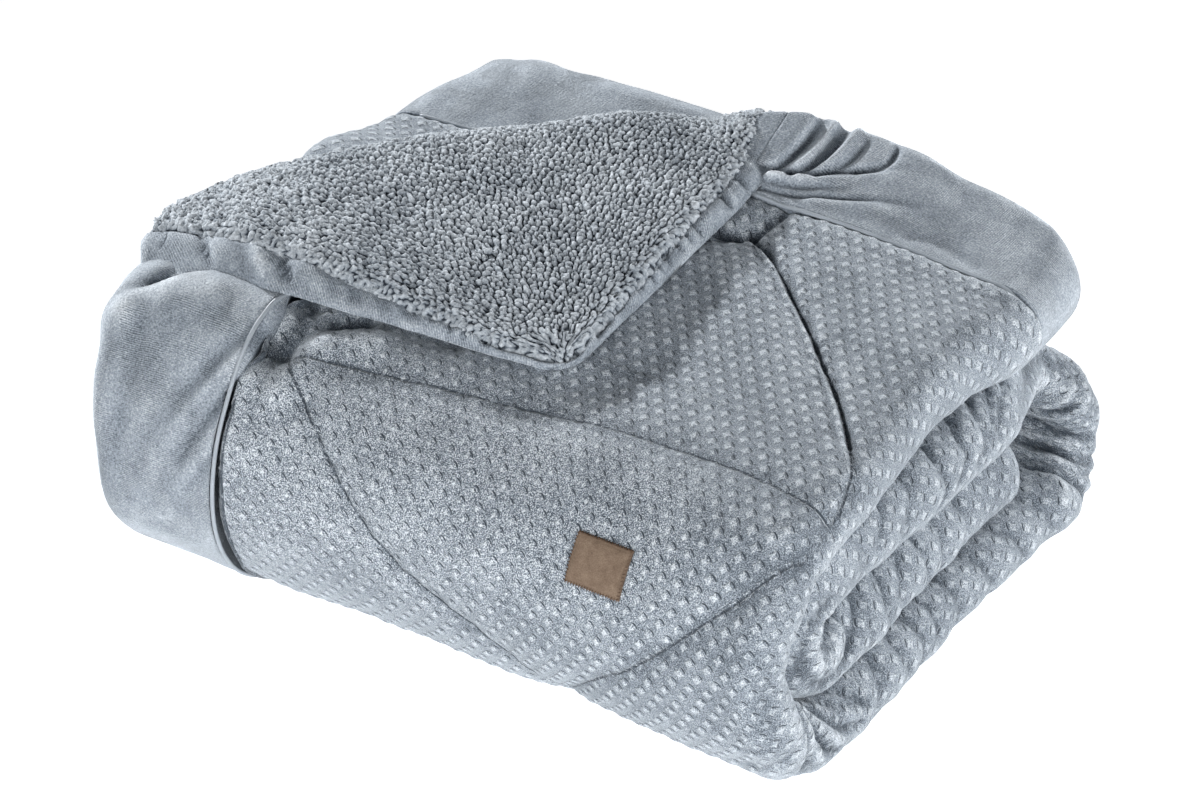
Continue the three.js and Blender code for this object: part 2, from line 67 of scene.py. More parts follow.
# The turned corner in plan, and the layers on it
CORNER_LEFT, CORNER_BACK = np.array([-337.0, -181.0]), np.array([57.0, 268.0])
CORNER_TIP = np.array([48.0, -142.0])
BOW, BOW_LEAN, BOW_FADE, THICK, TIP_ROUND, END_DRAW = 96.0, 0.65, 0.8, 32.0, 34.0, 0.9
CORNER_GAP, UNDER_STEP, UNDER_FROM, UNDER_TO = 1.5, 20.0, -10.0, 16.0
ROLL_BEHIND, ROLL_AHEAD, EDGE_CURVE = 30.0, 26.0, 25.0
SHERPA_THICK, SHERPA_RIM = 9.0, 7.0
NUB, NUB_HEIGHT, NUB_STRAY = 5.7, 4.8, 5.5

PIPING_RADIUS, PIPING_DEPTH, UNDER_PIPING_END = 2.3, 1.1, -196.0
# Share of the piping's radius that is left once the cloth is drawn tight over it
PIPING_DRAWN = 0.78
GROOVE_DEPTH, GROOVE_WIDTH, BORDER_GROOVE = 6.5, 12.0, 3.0
PATCH = dict(x=165.0, along=553.0, width=58.0, height=42.0, thick=1.8, lift=0.9)
STITCH = dict(out=0.9, into=2.6, slant=0.8, radius=0.42, high=0.8, sides=6)


# Curves and noise

def smooth(value, start, end):
    t = np.clip((value - start) / (end - start), 0, 1)
    return t * t * (3 - 2 * t)


def between(value, start, full, fading, end):
    """A smooth plateau: 0 before start, 1 from full to fading, and 0 after end."""
    return smooth(value, start, full) * (1 - smooth(value, fading, end))


def bump(value, middle, reach):
    """A round bump of height 1 at its middle."""
    return np.exp(-(((value - middle) / reach) ** 2))


def quarter_round(distance, radius):
    t = 1 - np.clip(distance / radius, 0, 1)
    return np.sqrt(np.maximum(1 - t * t, 0))


def scatter(ix, iy, seed):
    """An even random number from 0 to 1 for each pair of whole numbers."""
    mask = np.uint64(0xFFFFFFFF)
    h = (ix.astype(np.int64) * 374761393 + iy.astype(np.int64) * 668265263 + seed * 974634777)
    h = h.astype(np.uint64) & mask
    h = ((h ^ (h >> np.uint64(13))) * np.uint64(1274126177)) & mask
    h = ((h ^ (h >> np.uint64(15))) * np.uint64(2246822519)) & mask
    return ((h ^ (h >> np.uint64(16))) & mask).astype(float) / 4294967295.0


def noise(x, y, seed):
    """Smooth noise from -1 to 1, one bump for each unit."""
    ix, iy = np.floor(x), np.floor(y)
    fx, fy = x - ix, y - iy
    fx, fy = fx * fx * (3 - 2 * fx), fy * fy * (3 - 2 * fy)
    a, b = scatter(ix, iy, seed), scatter(ix + 1, iy, seed)
    c, d = scatter(ix, iy + 1, seed), scatter(ix + 1, iy + 1, seed)
    return 2 * (a + (b - a) * fx + (c - a + (a - b - c + d) * fx) * fy) - 1


def bumps(x, y, size, height, seed, octaves=2):
    """Noise in octaves, of a height and of a size along x and y in millimetres."""
    along, across = np.broadcast_to(size, 2)
    total, weight, share = 0.0, 0.0, 1.0
    for k in range(octaves):
        level = noise(x / along * 2 ** k + 7.3 * k, y / across * 2 ** k - 3.1 * k, seed + k)
        total = total + level * share
        weight += share
        share *= 0.5
    return total / weight * height


def cells(x, y, seed):
    """Distances to the nearest two of scattered points, and the nearest one's own number."""
    ix, iy = np.floor(x), np.floor(y)
    first = np.full(np.shape(x), 9.0)
    second = np.full(np.shape(x), 9.0)
    own = np.zeros(np.shape(x))
    for di in (-1, 0, 1):
        for dj in (-1, 0, 1):
            cx, cy = ix + di, iy + dj
            px = cx + 0.5 + 0.8 * (scatter(cx, cy, seed) - 0.5)
            py = cy + 0.5 + 0.8 * (scatter(cx, cy, seed + 9) - 0.5)
            d = np.hypot(x - px, y - py)
            nearer = d < first
            second = np.where(nearer, first, np.minimum(second, d))
            own = np.where(nearer, scatter(cx, cy, seed + 17), own)
            first = np.minimum(first, d)
    return first, second, own


def through(points, count):
    """A smooth line through given points."""
    p = np.array(points, float)
    t = np.linspace(0, len(p) - 1, count)
    i = np.minimum(t.astype(int), len(p) - 2)
    f = (t - i)[:, None]
    before, here = p[np.maximum(i - 1, 0)], p[i]
    after, later = p[i + 1], p[np.minimum(i + 2, len(p) - 1)]
    return 0.5 * (
        2 * here + (after - before) * f + (2 * before - 5 * here + 4 * after - later) * f ** 2
        + (3 * here - before - 3 * after + later) * f ** 3
    )


def line_distance(x, y, line):
    """Distance from a line, the side that a point is on, and how far along the line it is."""
    best = np.full(np.shape(x), 1e9)
    side = np.zeros(np.shape(x))
    along = np.zeros(np.shape(x))
    lengths = np.r_[0, np.cumsum(np.hypot(*np.diff(line, axis=0).T))]
    for k in range(len(line) - 1):
        (ax, ay), (bx, by) = line[k], line[k + 1]
        dx, dy = bx - ax, by - ay
        span = dx * dx + dy * dy
        t = np.clip(((x - ax) * dx + (y - ay) * dy) / span, 0, 1)
        ex, ey = x - ax - t * dx, y - ay - t * dy
        d = np.hypot(ex, ey)
        nearer = d < best
        side = np.where(nearer, np.sign(dx * ey - dy * ex), side)
        along = np.where(nearer, lengths[k] + t * math.sqrt(span), along)
        best = np.minimum(best, d)
    return best, side, along


# The layers' middle line: it starts at the back hem on top, and its face is outside every turn.
# Straight runs have a way, turns have a radius and the angle that they start from.
RUNS = [
    dict(y=BACK, z=LEVEL_4, length=BACK - WRAP_Y, way=-1, reach=20),
    dict(y=WRAP_Y, z=LEVEL_1 + WRAP_RADIUS, radius=WRAP_RADIUS, start=90, reach=4),
    dict(y=WRAP_Y, z=LEVEL_1, length=BACK_FOLD_Y - WRAP_Y, way=1, reach=6),
    dict(y=BACK_FOLD_Y, z=LEVEL_2, radius=BACK_RADIUS, start=-90, reach=0),
    dict(y=BACK_FOLD_Y, z=LEVEL_3, length=BACK_FOLD_Y - WRAP_Y, way=-1, reach=2),
    dict(y=WRAP_Y, z=LEVEL_2 + CURL_RADIUS, radius=CURL_RADIUS, start=90, reach=12),
    dict(y=WRAP_Y, z=LEVEL_2, length=LAST_END_Y - WRAP_Y, way=1, reach=14),
]
for run in RUNS:
    run.setdefault("length", math.pi * run.get("radius", 0))
STARTS = np.r_[0, np.cumsum([run["length"] for run in RUNS])]
PATH_LENGTH = STARTS[-1]


def path_at(distance):
    """Place and normal of the middle line, how far the end stops short, and the length along the face."""
    s = np.asarray(distance, float)
    y, z, ny, nz, short, face = (np.zeros(s.shape) for _ in range(6))
    face_start = 0.0
    for i, run in enumerate(RUNS):
        last = i == len(RUNS) - 1
        here = (s >= STARTS[i]) & ((s < STARTS[i + 1]) | last)
        along = s - STARTS[i]
        stretch = 1.0
        if "way" in run:
            y[here] = (run["y"] + run["way"] * along)[here]
            z[here] = run["z"]
            nz[here] = -run["way"]
        else:
            angle = math.radians(run["start"]) + along / run["radius"]
            ny[here], nz[here] = np.cos(angle)[here], np.sin(angle)[here]
            y[here] = (run["y"] + run["radius"] * np.cos(angle))[here]
            z[here] = (run["z"] + run["radius"] * np.sin(angle))[here]
            stretch = 1 + LAYER / 2 / run["radius"]
        following = RUNS[min(i + 1, len(RUNS) - 1)]["reach"]
        eased = run["reach"] + (following - run["reach"]) * smooth(along / run["length"], 0.5, 1)
        short[here] = eased[here]
        face[here] = (face_start + along * stretch)[here]
        face_start += run["length"] * stretch
    return y, z, ny, nz, short, face


# Each line of lie says how far a place moves at most, and from where to where the move sets in

def lie(x, y, z):
    """Settles a point of the neat bundle into the lie of the real one; the base stays flat."""
    front = (BACK - y) / DEPTH
    high = np.clip(z / TOP, 0, 1.2)
    inner = np.sin(np.pi * np.clip(high, 0, 1))
    short = 26 * smooth(x, 0, RIGHT) * front
    skew = 36 * smooth(-x, 60, RIGHT) * smooth(y, -200, BACK)
    cut_by = np.where(x > 0, 8, -26)
    cut_in = cut_by * smooth(np.abs(x), 240, RIGHT) * smooth(y, 190, BACK) * high
    dropped = 22 * smooth(x, 130, RIGHT) * smooth(y, 60, BACK)
    crest = (19 - 4 * smooth(x, 90, 150)) * between(x, -350, -230, 190, 330)
    crest = crest + 17 * between(x, -40, 20, 50, 90) + 8 * between(x, 70, 110, 150, 200)
    raised = crest * smooth(y, 120, BACK)
    towards_front = 1 - smooth(y, -120, 60)
    reached = 24 * smooth(-x, 180, RIGHT) * towards_front * smooth(z, 140, 250)
    drooped = 12 * smooth(-x, 250, RIGHT) * towards_front * smooth(z, 180, TOP)
    out = 13 * smooth(x, 150, RIGHT) * (1 - smooth(z, 75, 150))
    from_back_end = np.hypot(x - CORNER_BACK[0], y - CORNER_BACK[1])
    pressed = 0.55 * np.maximum(z - TOP, 0) * (1 - smooth(from_back_end, 40, 230))
    return np.stack([
        x - short + skew - cut_in - reached + out,
        y - 14 * front * x / RIGHT,
        z - 16 * inner * smooth(y, -100, BACK) + (raised - dropped) * high ** 3 - drooped - pressed,
    ], -1)


# Brings the neat bundle's middle over the frame's origin
SHIFT = np.array([
    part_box("border_left")[1].x / MM - lie(np.array(SEAM_X - SEAM_GAP), BACK, LEVEL_2)[0],
    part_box("quilted_centre")[1].y / MM - BACK,
    0.0,
])

# How far the right end is drawn in: by how much, at which place down the path, and its reach there
SLACK = ((22, 1322, 48), (8, 1215, 42), (-7, 1125, 34), (14, 1288, 26))


def settle(x, y, z):
    return lie(x, y, z) + SHIFT


def drawn_in(x, s, short):
    """The place along the bundle once the right end is drawn in by its slack and rounded at both hems."""
    slack = sum(amount * bump(s, middle, reach) for amount, middle, reach in SLACK)
    past = np.maximum(HEM_ROUND - np.minimum(s, PATH_LENGTH - s), 0)
    hem_corner = HEM_ROUND - np.sqrt(np.maximum(HEM_ROUND ** 2 - past ** 2, 0))
    return x - (short + slack) * smooth(x, 0, RIGHT) - hem_corner * smooth(x, 200, RIGHT)


def lifted(s, x, height):
    """A settled point at a height over the middle line."""
    y, z, ny, nz, short, _ = path_at(s)
    return settle(drawn_in(x, s, short), y + ny * height, z + nz * height)


FOLD = CORNER_BACK - CORNER_LEFT
FOLD_LENGTH = float(np.hypot(*FOLD))
ALONG = FOLD / FOLD_LENGTH
AHEAD = np.array([ALONG[1], -ALONG[0]])
TIP_U, TIP_V = float((CORNER_TIP - CORNER_LEFT) @ ALONG), float((CORNER_TIP - CORNER_LEFT) @ AHEAD)
LEFT_SIDE, BACK_SIDE = math.hypot(TIP_U, TIP_V), math.hypot(FOLD_LENGTH - TIP_U, TIP_V)
LEFT_SLANT, BACK_SLANT = LEFT_SIDE / TIP_V, BACK_SIDE / TIP_V


def bow_at(u):
    along = np.clip(u / FOLD_LENGTH, 0, 1) ** BOW_LEAN
    return BOW * np.maximum(np.sin(np.pi * along), 0) ** 0.8


def under_corner(s, x):
    """How much thinner the top layer is under the turned corner."""
    y = BACK - s
    u = (x - CORNER_LEFT[0]) * ALONG[0] + (y - CORNER_LEFT[1]) * ALONG[1]
    v = (x - CORNER_LEFT[0]) * AHEAD[0] + (y - CORNER_LEFT[1]) * AHEAD[1]
    return UNDER_STEP * smooth(-v - bow_at(u), UNDER_FROM, UNDER_TO) * (s < STARTS[1])


# Meshes

def mesh_object(name, verts, faces, uv, fields):
    """An object from points in millimetres, faces as lists of corners, and a fabric map for each corner."""
    mesh = bpy.data.meshes.new(name)
    verts = np.asarray(verts, float) * MM
    mesh.vertices.add(len(verts))
    mesh.vertices.foreach_set("co", verts.astype(np.float32).ravel())
    sizes = np.concatenate([np.full(len(block), block.shape[1]) for block in faces])
    corners = np.concatenate([block.ravel() for block in faces])
    mesh.loops.add(len(corners))
    mesh.loops.foreach_set("vertex_index", corners.astype(np.int32))
    mesh.polygons.add(len(sizes))
    mesh.polygons.foreach_set("loop_start", np.r_[0, np.cumsum(sizes)[:-1]].astype(np.int32))
    mesh.polygons.foreach_set("loop_total", sizes.astype(np.int32))
    mesh.polygons.foreach_set("use_smooth", np.ones(len(sizes), bool))
    layer = mesh.uv_layers.new(name="fabric")
    layer.data.foreach_set("uv", (np.asarray(uv, float) * MM).astype(np.float32).ravel())
    for key, values in fields.items():
        layer = mesh.attributes.new(key, "FLOAT", "POINT")
        layer.data.foreach_set("value", np.asarray(values, np.float32).ravel())
    mesh.update()
    mesh.validate()
    obj = bpy.data.objects.new(name, mesh)
    bpy.context.scene.collection.objects.link(obj)
    return obj


def unit(vectors):
    return vectors / np.maximum(np.linalg.norm(vectors, axis=-1, keepdims=True), 1e-9)


def grid_normals(points, wrapped):
    """Unit normals of a grid of points, whose rows may close on themselves."""
    if wrapped:
        across = (np.roll(points, -1, 1) - np.roll(points, 1, 1)) / 2
    else:
        across = np.gradient(points, axis=1)
    return unit(np.cross(np.gradient(points, axis=0), across))


def grid_quads(rows, cols, wrapped=False):
    """Corners of the quads of a grid, whose rows may close on themselves."""
    i, j = np.meshgrid(np.arange(rows - 1), np.arange(cols if wrapped else cols - 1), indexing="ij")
    k = (j + 1) % cols
    quads = [i * cols + j, (i + 1) * cols + j, (i + 1) * cols + k, i * cols + k]
    return np.stack(quads, -1).reshape(-1, 4)


def volume_sign(verts, faces):
    total = 0.0
    for block in faces:
        a = verts[block[:, 0]]
        for k in range(1, block.shape[1] - 1):
            total += np.einsum("ij,ij->i", a, np.cross(verts[block[:, k]], verts[block[:, k + 1]])).sum()
    return total


def ring_solid(name, points, uv, fields):
    """A closed solid of rows that each close on themselves, with a cap on the first and last row."""
    rows, cols = points.shape[:2]
    verts = points.reshape(-1, 3)
    first, last = np.arange(cols), np.arange(cols)[::-1] + (rows - 1) * cols
    faces = [grid_quads(rows, cols, True), first[None, :], last[None, :]]
    map_at = grid_quads(rows, cols + 1)
    cap_uv = [uv[0, :cols], uv[-1, :cols][::-1]]
    if volume_sign(verts, faces[:1]) < 0:
        faces = [block[:, ::-1] for block in faces]
        map_at = map_at[:, ::-1]
        cap_uv = [cap[::-1] for cap in cap_uv]
    corner_uv = np.concatenate([uv.reshape(-1, 2)[map_at.ravel()], *cap_uv])
    return mesh_object(name, verts, faces, corner_uv, fields)


def plate_solid(name, top, bottom, uv, stride, fields):
    """A closed solid between a fine grid and a grid under it that keeps every stride-th point."""
    rows, cols = top.shape[:2]
    low = bottom[::stride, ::stride]
    low_rows, low_cols = low.shape[:2]
    upper = np.arange(rows * cols).reshape(rows, cols)
    lower = np.arange(low_rows * low_cols).reshape(low_rows, low_cols) + rows * cols
    rims = []
    for over, under in (
        (upper[0, ::-1], lower[0, ::-1]), (upper[-1], lower[-1]),
        (upper[:, 0], lower[:, 0]), (upper[::-1, -1], lower[::-1, -1]),
    ):
        for k in range(len(under) - 1):
            rims.append(np.r_[under[k], over[k * stride:(k + 1) * stride + 1], under[k + 1]][::-1])
    verts = np.concatenate([top.reshape(-1, 3), low.reshape(-1, 3)])
    low_quads = grid_quads(low_rows, low_cols) + rows * cols
    faces = [grid_quads(rows, cols), low_quads[:, ::-1], np.array(rims)]
    if volume_sign(verts, faces) < 0:
        faces = [block[:, ::-1] for block in faces]
    all_uv = np.concatenate([uv.reshape(-1, 2), uv[::stride, ::stride].reshape(-1, 2)])
    corner_uv = np.concatenate([all_uv[block.ravel()] for block in faces])
    fields = {key: np.concatenate([v.ravel(), v[::stride, ::stride].ravel()]) for key, v in fields.items()}
    return mesh_object(name, verts, faces, corner_uv, fields)


def tube_points(line, sizes, sides, guide):
    """Rings of points round a line, each of its own size, and the angles round them."""
    tangent = unit(np.gradient(line, axis=0))
    side = unit(np.cross(tangent, guide))
    up = np.cross(tangent, side)
    angle = np.linspace(0, 2 * np.pi, sides, endpoint=False)
    ring = np.cos(angle)[None, :, None] * side[:, None] + np.sin(angle)[None, :, None] * up[:, None]
    return line[:, None] + ring * sizes[:, None, None], angle


# Node materials
TINT = (0.86, 0.93, 1.0)


class Field:
    """A number that varies over a surface, built from math nodes."""

    def __init__(self, tree, socket):
        self.tree, self.socket = tree, socket

    def op(self, kind, *others, clamp=False):
        node = self.tree.nodes.new("ShaderNodeMath")
        node.operation, node.use_clamp = kind, clamp
        for k, value in enumerate((self, *others)):
            if isinstance(value, Field):
                self.tree.links.new(value.socket, node.inputs[k])
            else:
                node.inputs[k].default_value = value
        return Field(self.tree, node.outputs[0])

    def __add__(self, other):
        return self.op("ADD", other)

    def __sub__(self, other):
        return self.op("SUBTRACT", other)

    def __mul__(self, other):
        return self.op("MULTIPLY", other)

    def __truediv__(self, other):
        return self.op("DIVIDE", other)

    def __abs__(self):
        return self.op("ABSOLUTE")

    def power(self, exponent):
        return self.op("POWER", exponent)

    def wave(self, pitch):
        return (self * (2 * math.pi / pitch)).op("SINE")

    def step(self, start, end):
        """Smooth step from 0 to 1 between two values."""
        node = self.tree.nodes.new("ShaderNodeMapRange")
        node.interpolation_type = "SMOOTHSTEP"
        self.tree.links.new(self.socket, node.inputs["Value"])
        node.inputs["From Min"].default_value = start
        node.inputs["From Max"].default_value = end
        return Field(self.tree, node.outputs["Result"])

    def repeat(self, pitch, offset):
        """Distance from the nearest multiple of a pitch, with its sign."""
        return (self / pitch + (0.5 - offset)).op("FRACT") * pitch - pitch / 2


class Surface:
    """A material's node tree with the fields that fabrics use."""

    def __init__(self, name):
        self.material = bpy.data.materials.new(name)
        self.material.use_nodes = True
        self.tree = self.material.node_tree
        self.shader = self.tree.nodes["Principled BSDF"]
        self.place = self.node("TexCoord").outputs["Object"]
        fabric = self.node("UVMap")
        fabric.uv_map = "fabric"
        split = self.node("SeparateXYZ", fabric.outputs["UV"])
        self.u, self.v = (Field(self.tree, split.outputs[k]) * 1000.0 for k in (0, 1))

    def node(self, kind, source=None, **values):
        """A new node with its first input joined to a source and others set to values."""
        node = self.tree.nodes.new("ShaderNode" + kind)
        if source is not None:
            self.tree.links.new(source, node.inputs[0])
        for key, value in values.items():
            node.inputs[key].default_value = value
        return node

    def scaled(self, size, stretch=(1, 1, 1)):
        """The place on the object, scaled for a pattern of a size in millimetres."""
        return self.node("Mapping", self.place, Scale=[1000.0 / size / k for k in stretch]).outputs[0]

    def noise(self, size, detail=2.0, rough=0.5, stretch=(1, 1, 1)):
        """Noise from 0 to 1 with bumps of a size in millimetres."""
        place = self.scaled(size, stretch)
        texture = self.node("TexNoise", place, Scale=1.0, Detail=detail, Roughness=rough)
        return Field(self.tree, texture.outputs[0])

    def nubs(self, size):
        """Distance from the middle of scattered nubs of a size in millimetres, 0 to about 1."""
        return Field(self.tree, self.node("TexVoronoi", self.scaled(size), Scale=1.0).outputs["Distance"])

    def attribute(self, name):
        node = self.node("Attribute")
        node.attribute_name = name
        return Field(self.tree, node.outputs["Fac"])

    def finish(self, stops, shade, height, roughness=0.9, sheen=0.5, sheen_rough=0.4, tint=TINT):
        """Colour from a ramp over a field, and bumps from a height in millimetres."""
        ramp = self.node("ValToRGB", shade.op("MAXIMUM", 0.0, clamp=True).socket)
        elements = ramp.color_ramp.elements
        for k, (at, colour) in enumerate(stops):
            element = elements[k] if k < 2 else elements.new(at)
            element.position = at
            element.color = (*colour, 1)
        relief = self.node("Bump", Strength=1.0, Distance=MM)
        self.tree.links.new(ramp.outputs[0], self.shader.inputs["Base Color"])
        self.tree.links.new(height.socket, relief.inputs["Height"])
        self.tree.links.new(relief.outputs[0], self.shader.inputs["Normal"])
        self.shader.inputs["Roughness"].default_value = roughness
        self.shader.inputs["Sheen Weight"].default_value = sheen
        self.shader.inputs["Sheen Roughness"].default_value = sheen_rough
        self.shader.inputs["Sheen Tint"].default_value = (*tint, 1)
        self.shader.inputs["Specular IOR Level"].default_value = 0.25
        return self.material


# The emboss: small diamonds with drawn-in sides, in staggered rows, each with a nick beside it
EMBOSS_PITCH, EMBOSS_REPEAT = 17.5, 24.0
DIAMOND_U, DIAMOND_V, DIAMOND_SIDES = 5.6, 5.8, 0.72
NICK = dict(du=3.5, dv=-4.0, length=3.9, width=0.7)
STAGGER = (0.0, 0.5)


def nick_axes(nu, nv):
    """Distances across and along a nick, which lies aslant."""
    return nu * 0.6 - nv * 0.8, nu * 0.8 + nv * 0.6


def embossed_velvet():
    s = Surface("embossed_velvet")
    # The crease field below darkens the colour in the cloth's creases: painted shade.
    wear_and_front_light, crease_shade = s.attribute("wear_and_front_light"), s.attribute("crease_shade")
    pillows, nicks = [], []
    for shift in STAGGER:
        du = abs(s.u.repeat(EMBOSS_PITCH, shift)) / DIAMOND_U
        dv = abs(s.v.repeat(EMBOSS_REPEAT, shift)) / DIAMOND_V
        r = (du.power(DIAMOND_SIDES) + dv.power(DIAMOND_SIDES)) * (wear_and_front_light * 0.6 + 1.0)
        pillows.append(r.step(1.06, 0.88))
        nu = s.u.repeat(EMBOSS_PITCH, shift + NICK["du"] / EMBOSS_PITCH)
        nv = s.v.repeat(EMBOSS_REPEAT, shift + NICK["dv"] / EMBOSS_REPEAT)
        across, along = nick_axes(nu, nv)
        bent = across + along * along * 0.05
        nicks.append((abs(bent) / NICK["width"] + (abs(along) / NICK["length"]).power(4.0)).step(1.25, 0.7))
    height = pillows[0].op("MAXIMUM", pillows[1])
    nick = nicks[0].op("MAXIMUM", nicks[1])
    pile = s.noise(1.0, 1.0, 0.6)
    tufts = s.noise(5.0, 2.0, 0.6)
    mottle = s.noise(46.0, 3.0, 0.6)
    dots = s.noise(3.6, 0.0).step(0.42, 0.52)
    sewn = abs(s.attribute("stitch")).step(1.4, 0.5) * (dots * 0.7 + 0.3)
    uneven = s.noise(17.0, 2.0, 0.6).step(0.36, 0.62)
    relief = height * 0.8 - nick * 1.3 + pile * 0.9 + tufts * 0.4 - sewn * 1.6
    # Painted light and shade: the raised diamonds are painted lighter and the nicks' dips darker, following
    # the relief.
    shade = (
        height * (wear_and_front_light * (uneven * 0.30 - 0.08) + 0.25) - nick * (uneven * wear_and_front_light * 0.4 - wear_and_front_light * 0.3 + 1.0)
        + (pile - 0.5) * (wear_and_front_light * 1.2 + 2.1) + (tufts - 0.5) * 0.25 + (mottle - 0.5) * 0.4
        # Painted light: the rubbed front's colour is lifted here, on top of its real wear.
        - sewn * 0.75 - crease_shade * 0.10 + wear_and_front_light * 0.09 + 0.36
    )
    stops = [
        (0.0, (0.055, 0.069, 0.087)), (0.35, (0.195, 0.228, 0.268)),
        (0.6, (0.330, 0.372, 0.420)), (1.0, (0.700, 0.745, 0.790)),
    ]
    return s.finish(stops, shade, relief, sheen=0.75, sheen_rough=0.35)


def plain_velvet():
    s = Surface("plain_velvet")
    drift = (s.noise(9.0, 1.0) - 0.5) * 5.0
    ribs = (s.v * (2 * math.pi / 1.8) + drift).op("SINE")
    patches = s.noise(30.0, 1.0, 0.5).step(0.36, 0.6)
    pile = s.noise(1.7, 1.0, 0.7)
    brushed = s.noise(30.0, 5.0, 0.65, (1.0, 1.6, 1.6))
    relief = ribs * patches * 0.2 + pile * 0.8 + brushed * 0.5
    # The colour is darkened in the cloth's creases, as painted shade.
    shade = (
        ribs * patches * 0.14 + (pile - 0.5) * 1.1 + (brushed - 0.5) * 0.75
        - s.attribute("crease_shade") * 0.10 + 0.44
    )
    stops = [
        (0.0, (0.070, 0.086, 0.106)), (0.35, (0.215, 0.248, 0.288)),
        (0.6, (0.335, 0.375, 0.422)), (1.0, (0.640, 0.685, 0.732)),
    ]
    return s.finish(stops, shade, relief, sheen=0.8, sheen_rough=0.32)


def sherpa_pile():
    s = Surface("sherpa")
    nub = s.attribute("nub")
    fibre = s.noise(1.4, 1.0, 0.7)
    curl = s.nubs(3.8)
    drift = s.noise(70.0, 2.0, 0.5)
    # Painted light and shade: the colour darkens in the crevices between the nubs and curls and lightens on
    # the nubs' tops.
    shade = (
        nub.step(0.0, 0.38) * 0.78 + nub * 0.42 - curl * 0.34
        + (fibre - 0.5) * 0.55 + (drift - 0.5) * 0.5 - 0.12
    )
    stops = [
        (0.0, (0.022, 0.028, 0.038)), (0.3, (0.110, 0.131, 0.158)),
        (0.6, (0.275, 0.309, 0.347)), (1.0, (0.560, 0.602, 0.645)),
    ]
    return s.finish(stops, shade, fibre * 0.5 - curl * 1.5, roughness=0.95, sheen=0.6)


def satin_piping():
    s = Surface("satin_piping")
    twill = (s.u + s.v).wave(1.1)
    relief = twill * 0.03 + s.noise(0.8, 1.0) * 0.08
    shade = s.noise(14.0, 2.0) * 0.6 + twill * 0.06 + 0.2
    stops = [(0.0, (0.225, 0.258, 0.295)), (0.6, (0.345, 0.383, 0.425)), (1.0, (0.470, 0.510, 0.550))]
    return s.finish(stops, shade, relief, roughness=0.45, sheen=0.3)


def patch_leather():
    s = Surface("patch_leather")
    nap = s.noise(1.1, 3.0, 0.7)
    blotch = s.noise(9.0, 3.0, 0.6)
    shade = (nap - 0.5) + (blotch - 0.5) * 0.6 - s.attribute("edge") * 0.25 + 0.55
    stops = [(0.0, (0.055, 0.034, 0.021)), (0.5, (0.165, 0.115, 0.080)), (1.0, (0.300, 0.225, 0.165))]
    relief = nap * 0.4 + blotch * 0.2
    return s.finish(stops, shade, relief, roughness=0.7, sheen=0.15, tint=(1, 0.9, 0.8))


def sewing_thread(name, colour):
    s = Surface(name)
    ply = (s.u + s.v).wave(0.6)
    dark = tuple(c * 0.55 for c in colour)
    stops = [(0.0, dark), (1.0, colour)]
    return s.finish(stops, ply * 0.25 + 0.5, ply * 0.03, roughness=0.6, sheen=0.1, tint=(1, 1, 1))


EMBOSSED, PLAIN, SHERPA = embossed_velvet(), plain_velvet(), sherpa_pile()
SATIN, LEATHER = satin_piping(), patch_leather()
THREAD = sewing_thread("brown_thread", (0.13, 0.075, 0.045))


# Relief of the cloth, in millimetres over the smooth form.
# A fold goes through given points, along the bundle and down the path from the back hem.

def fold(depth, width, *points, lip=0, fade=0, count=16):
    """A fold of a depth, or a ridge where it is below 0; it may fade over the last part of its length."""
    line = through(points, count)
    return dict(depth=depth, width=width, line=line, lip=lip, fade=fade)


def stitched(depth, width, *points, **more):
    return fold(depth, width, *points, count=40, **more)


STITCHES = [
    # The front's upper edge, and the left and right sides of its diamond
    stitched(4, 15, (-212, 500), (-188, 496), (-44, 480), (86, 466), (212, 461), (336, 468)),
    stitched(4.5, 15, (-192, 488), (-168, 508), (-104, 556), (-34, 604), (58, 650), (110, 700)),
    stitched(4.5, 16, (110, 700), (156, 650), (226, 604), (298, 546), (340, 500)),
    # The top's right line, sharp and with a lip, and its left one
    stitched(6.6, 6.2, (76, 172), (118, 198), (152, 228), (192, 262), (230, 300), (266, 336),
             (300, 380), (326, 422), (338, 462), lip=3.4, fade=90),
    stitched(7, 16, (76, 170), (0, 235), (-90, 330), (-188, 440)),
]
CENTRE_FOLDS = [
    # By the left piping: a valley, a facet and a puff beside it, and a dip under the corner's edge
    fold(14, 13, (-204, 405), (-198, 450), (-204, 500)),
    fold(11, 13, (-150, 440), (-176, 462), (-192, 490)),
    fold(-6, 15, (-176, 520), (-160, 488), (-124, 466)),
    fold(6, 14, (-160, 448), (-110, 440), (-60, 436)),
    # Where the seam comes out from under the corner, and below its tip
    fold(6, 5, (40, 182), (62, 176), (80, 166), (92, 134)),
    fold(3, 26, (20, 470), (70, 430), (110, 380)),
    # Puffs by the back border, in the front, below its upper edge and left of the top's right line
    fold(-4, 38, (150, 165), (230, 190), (300, 260)),
    fold(-3, 40, (-60, 540), (40, 560), (140, 560)),
    fold(-4, 24, (230, 520), (300, 500)),
    fold(-4, 28, (100, 230), (170, 290), (240, 360)),
]
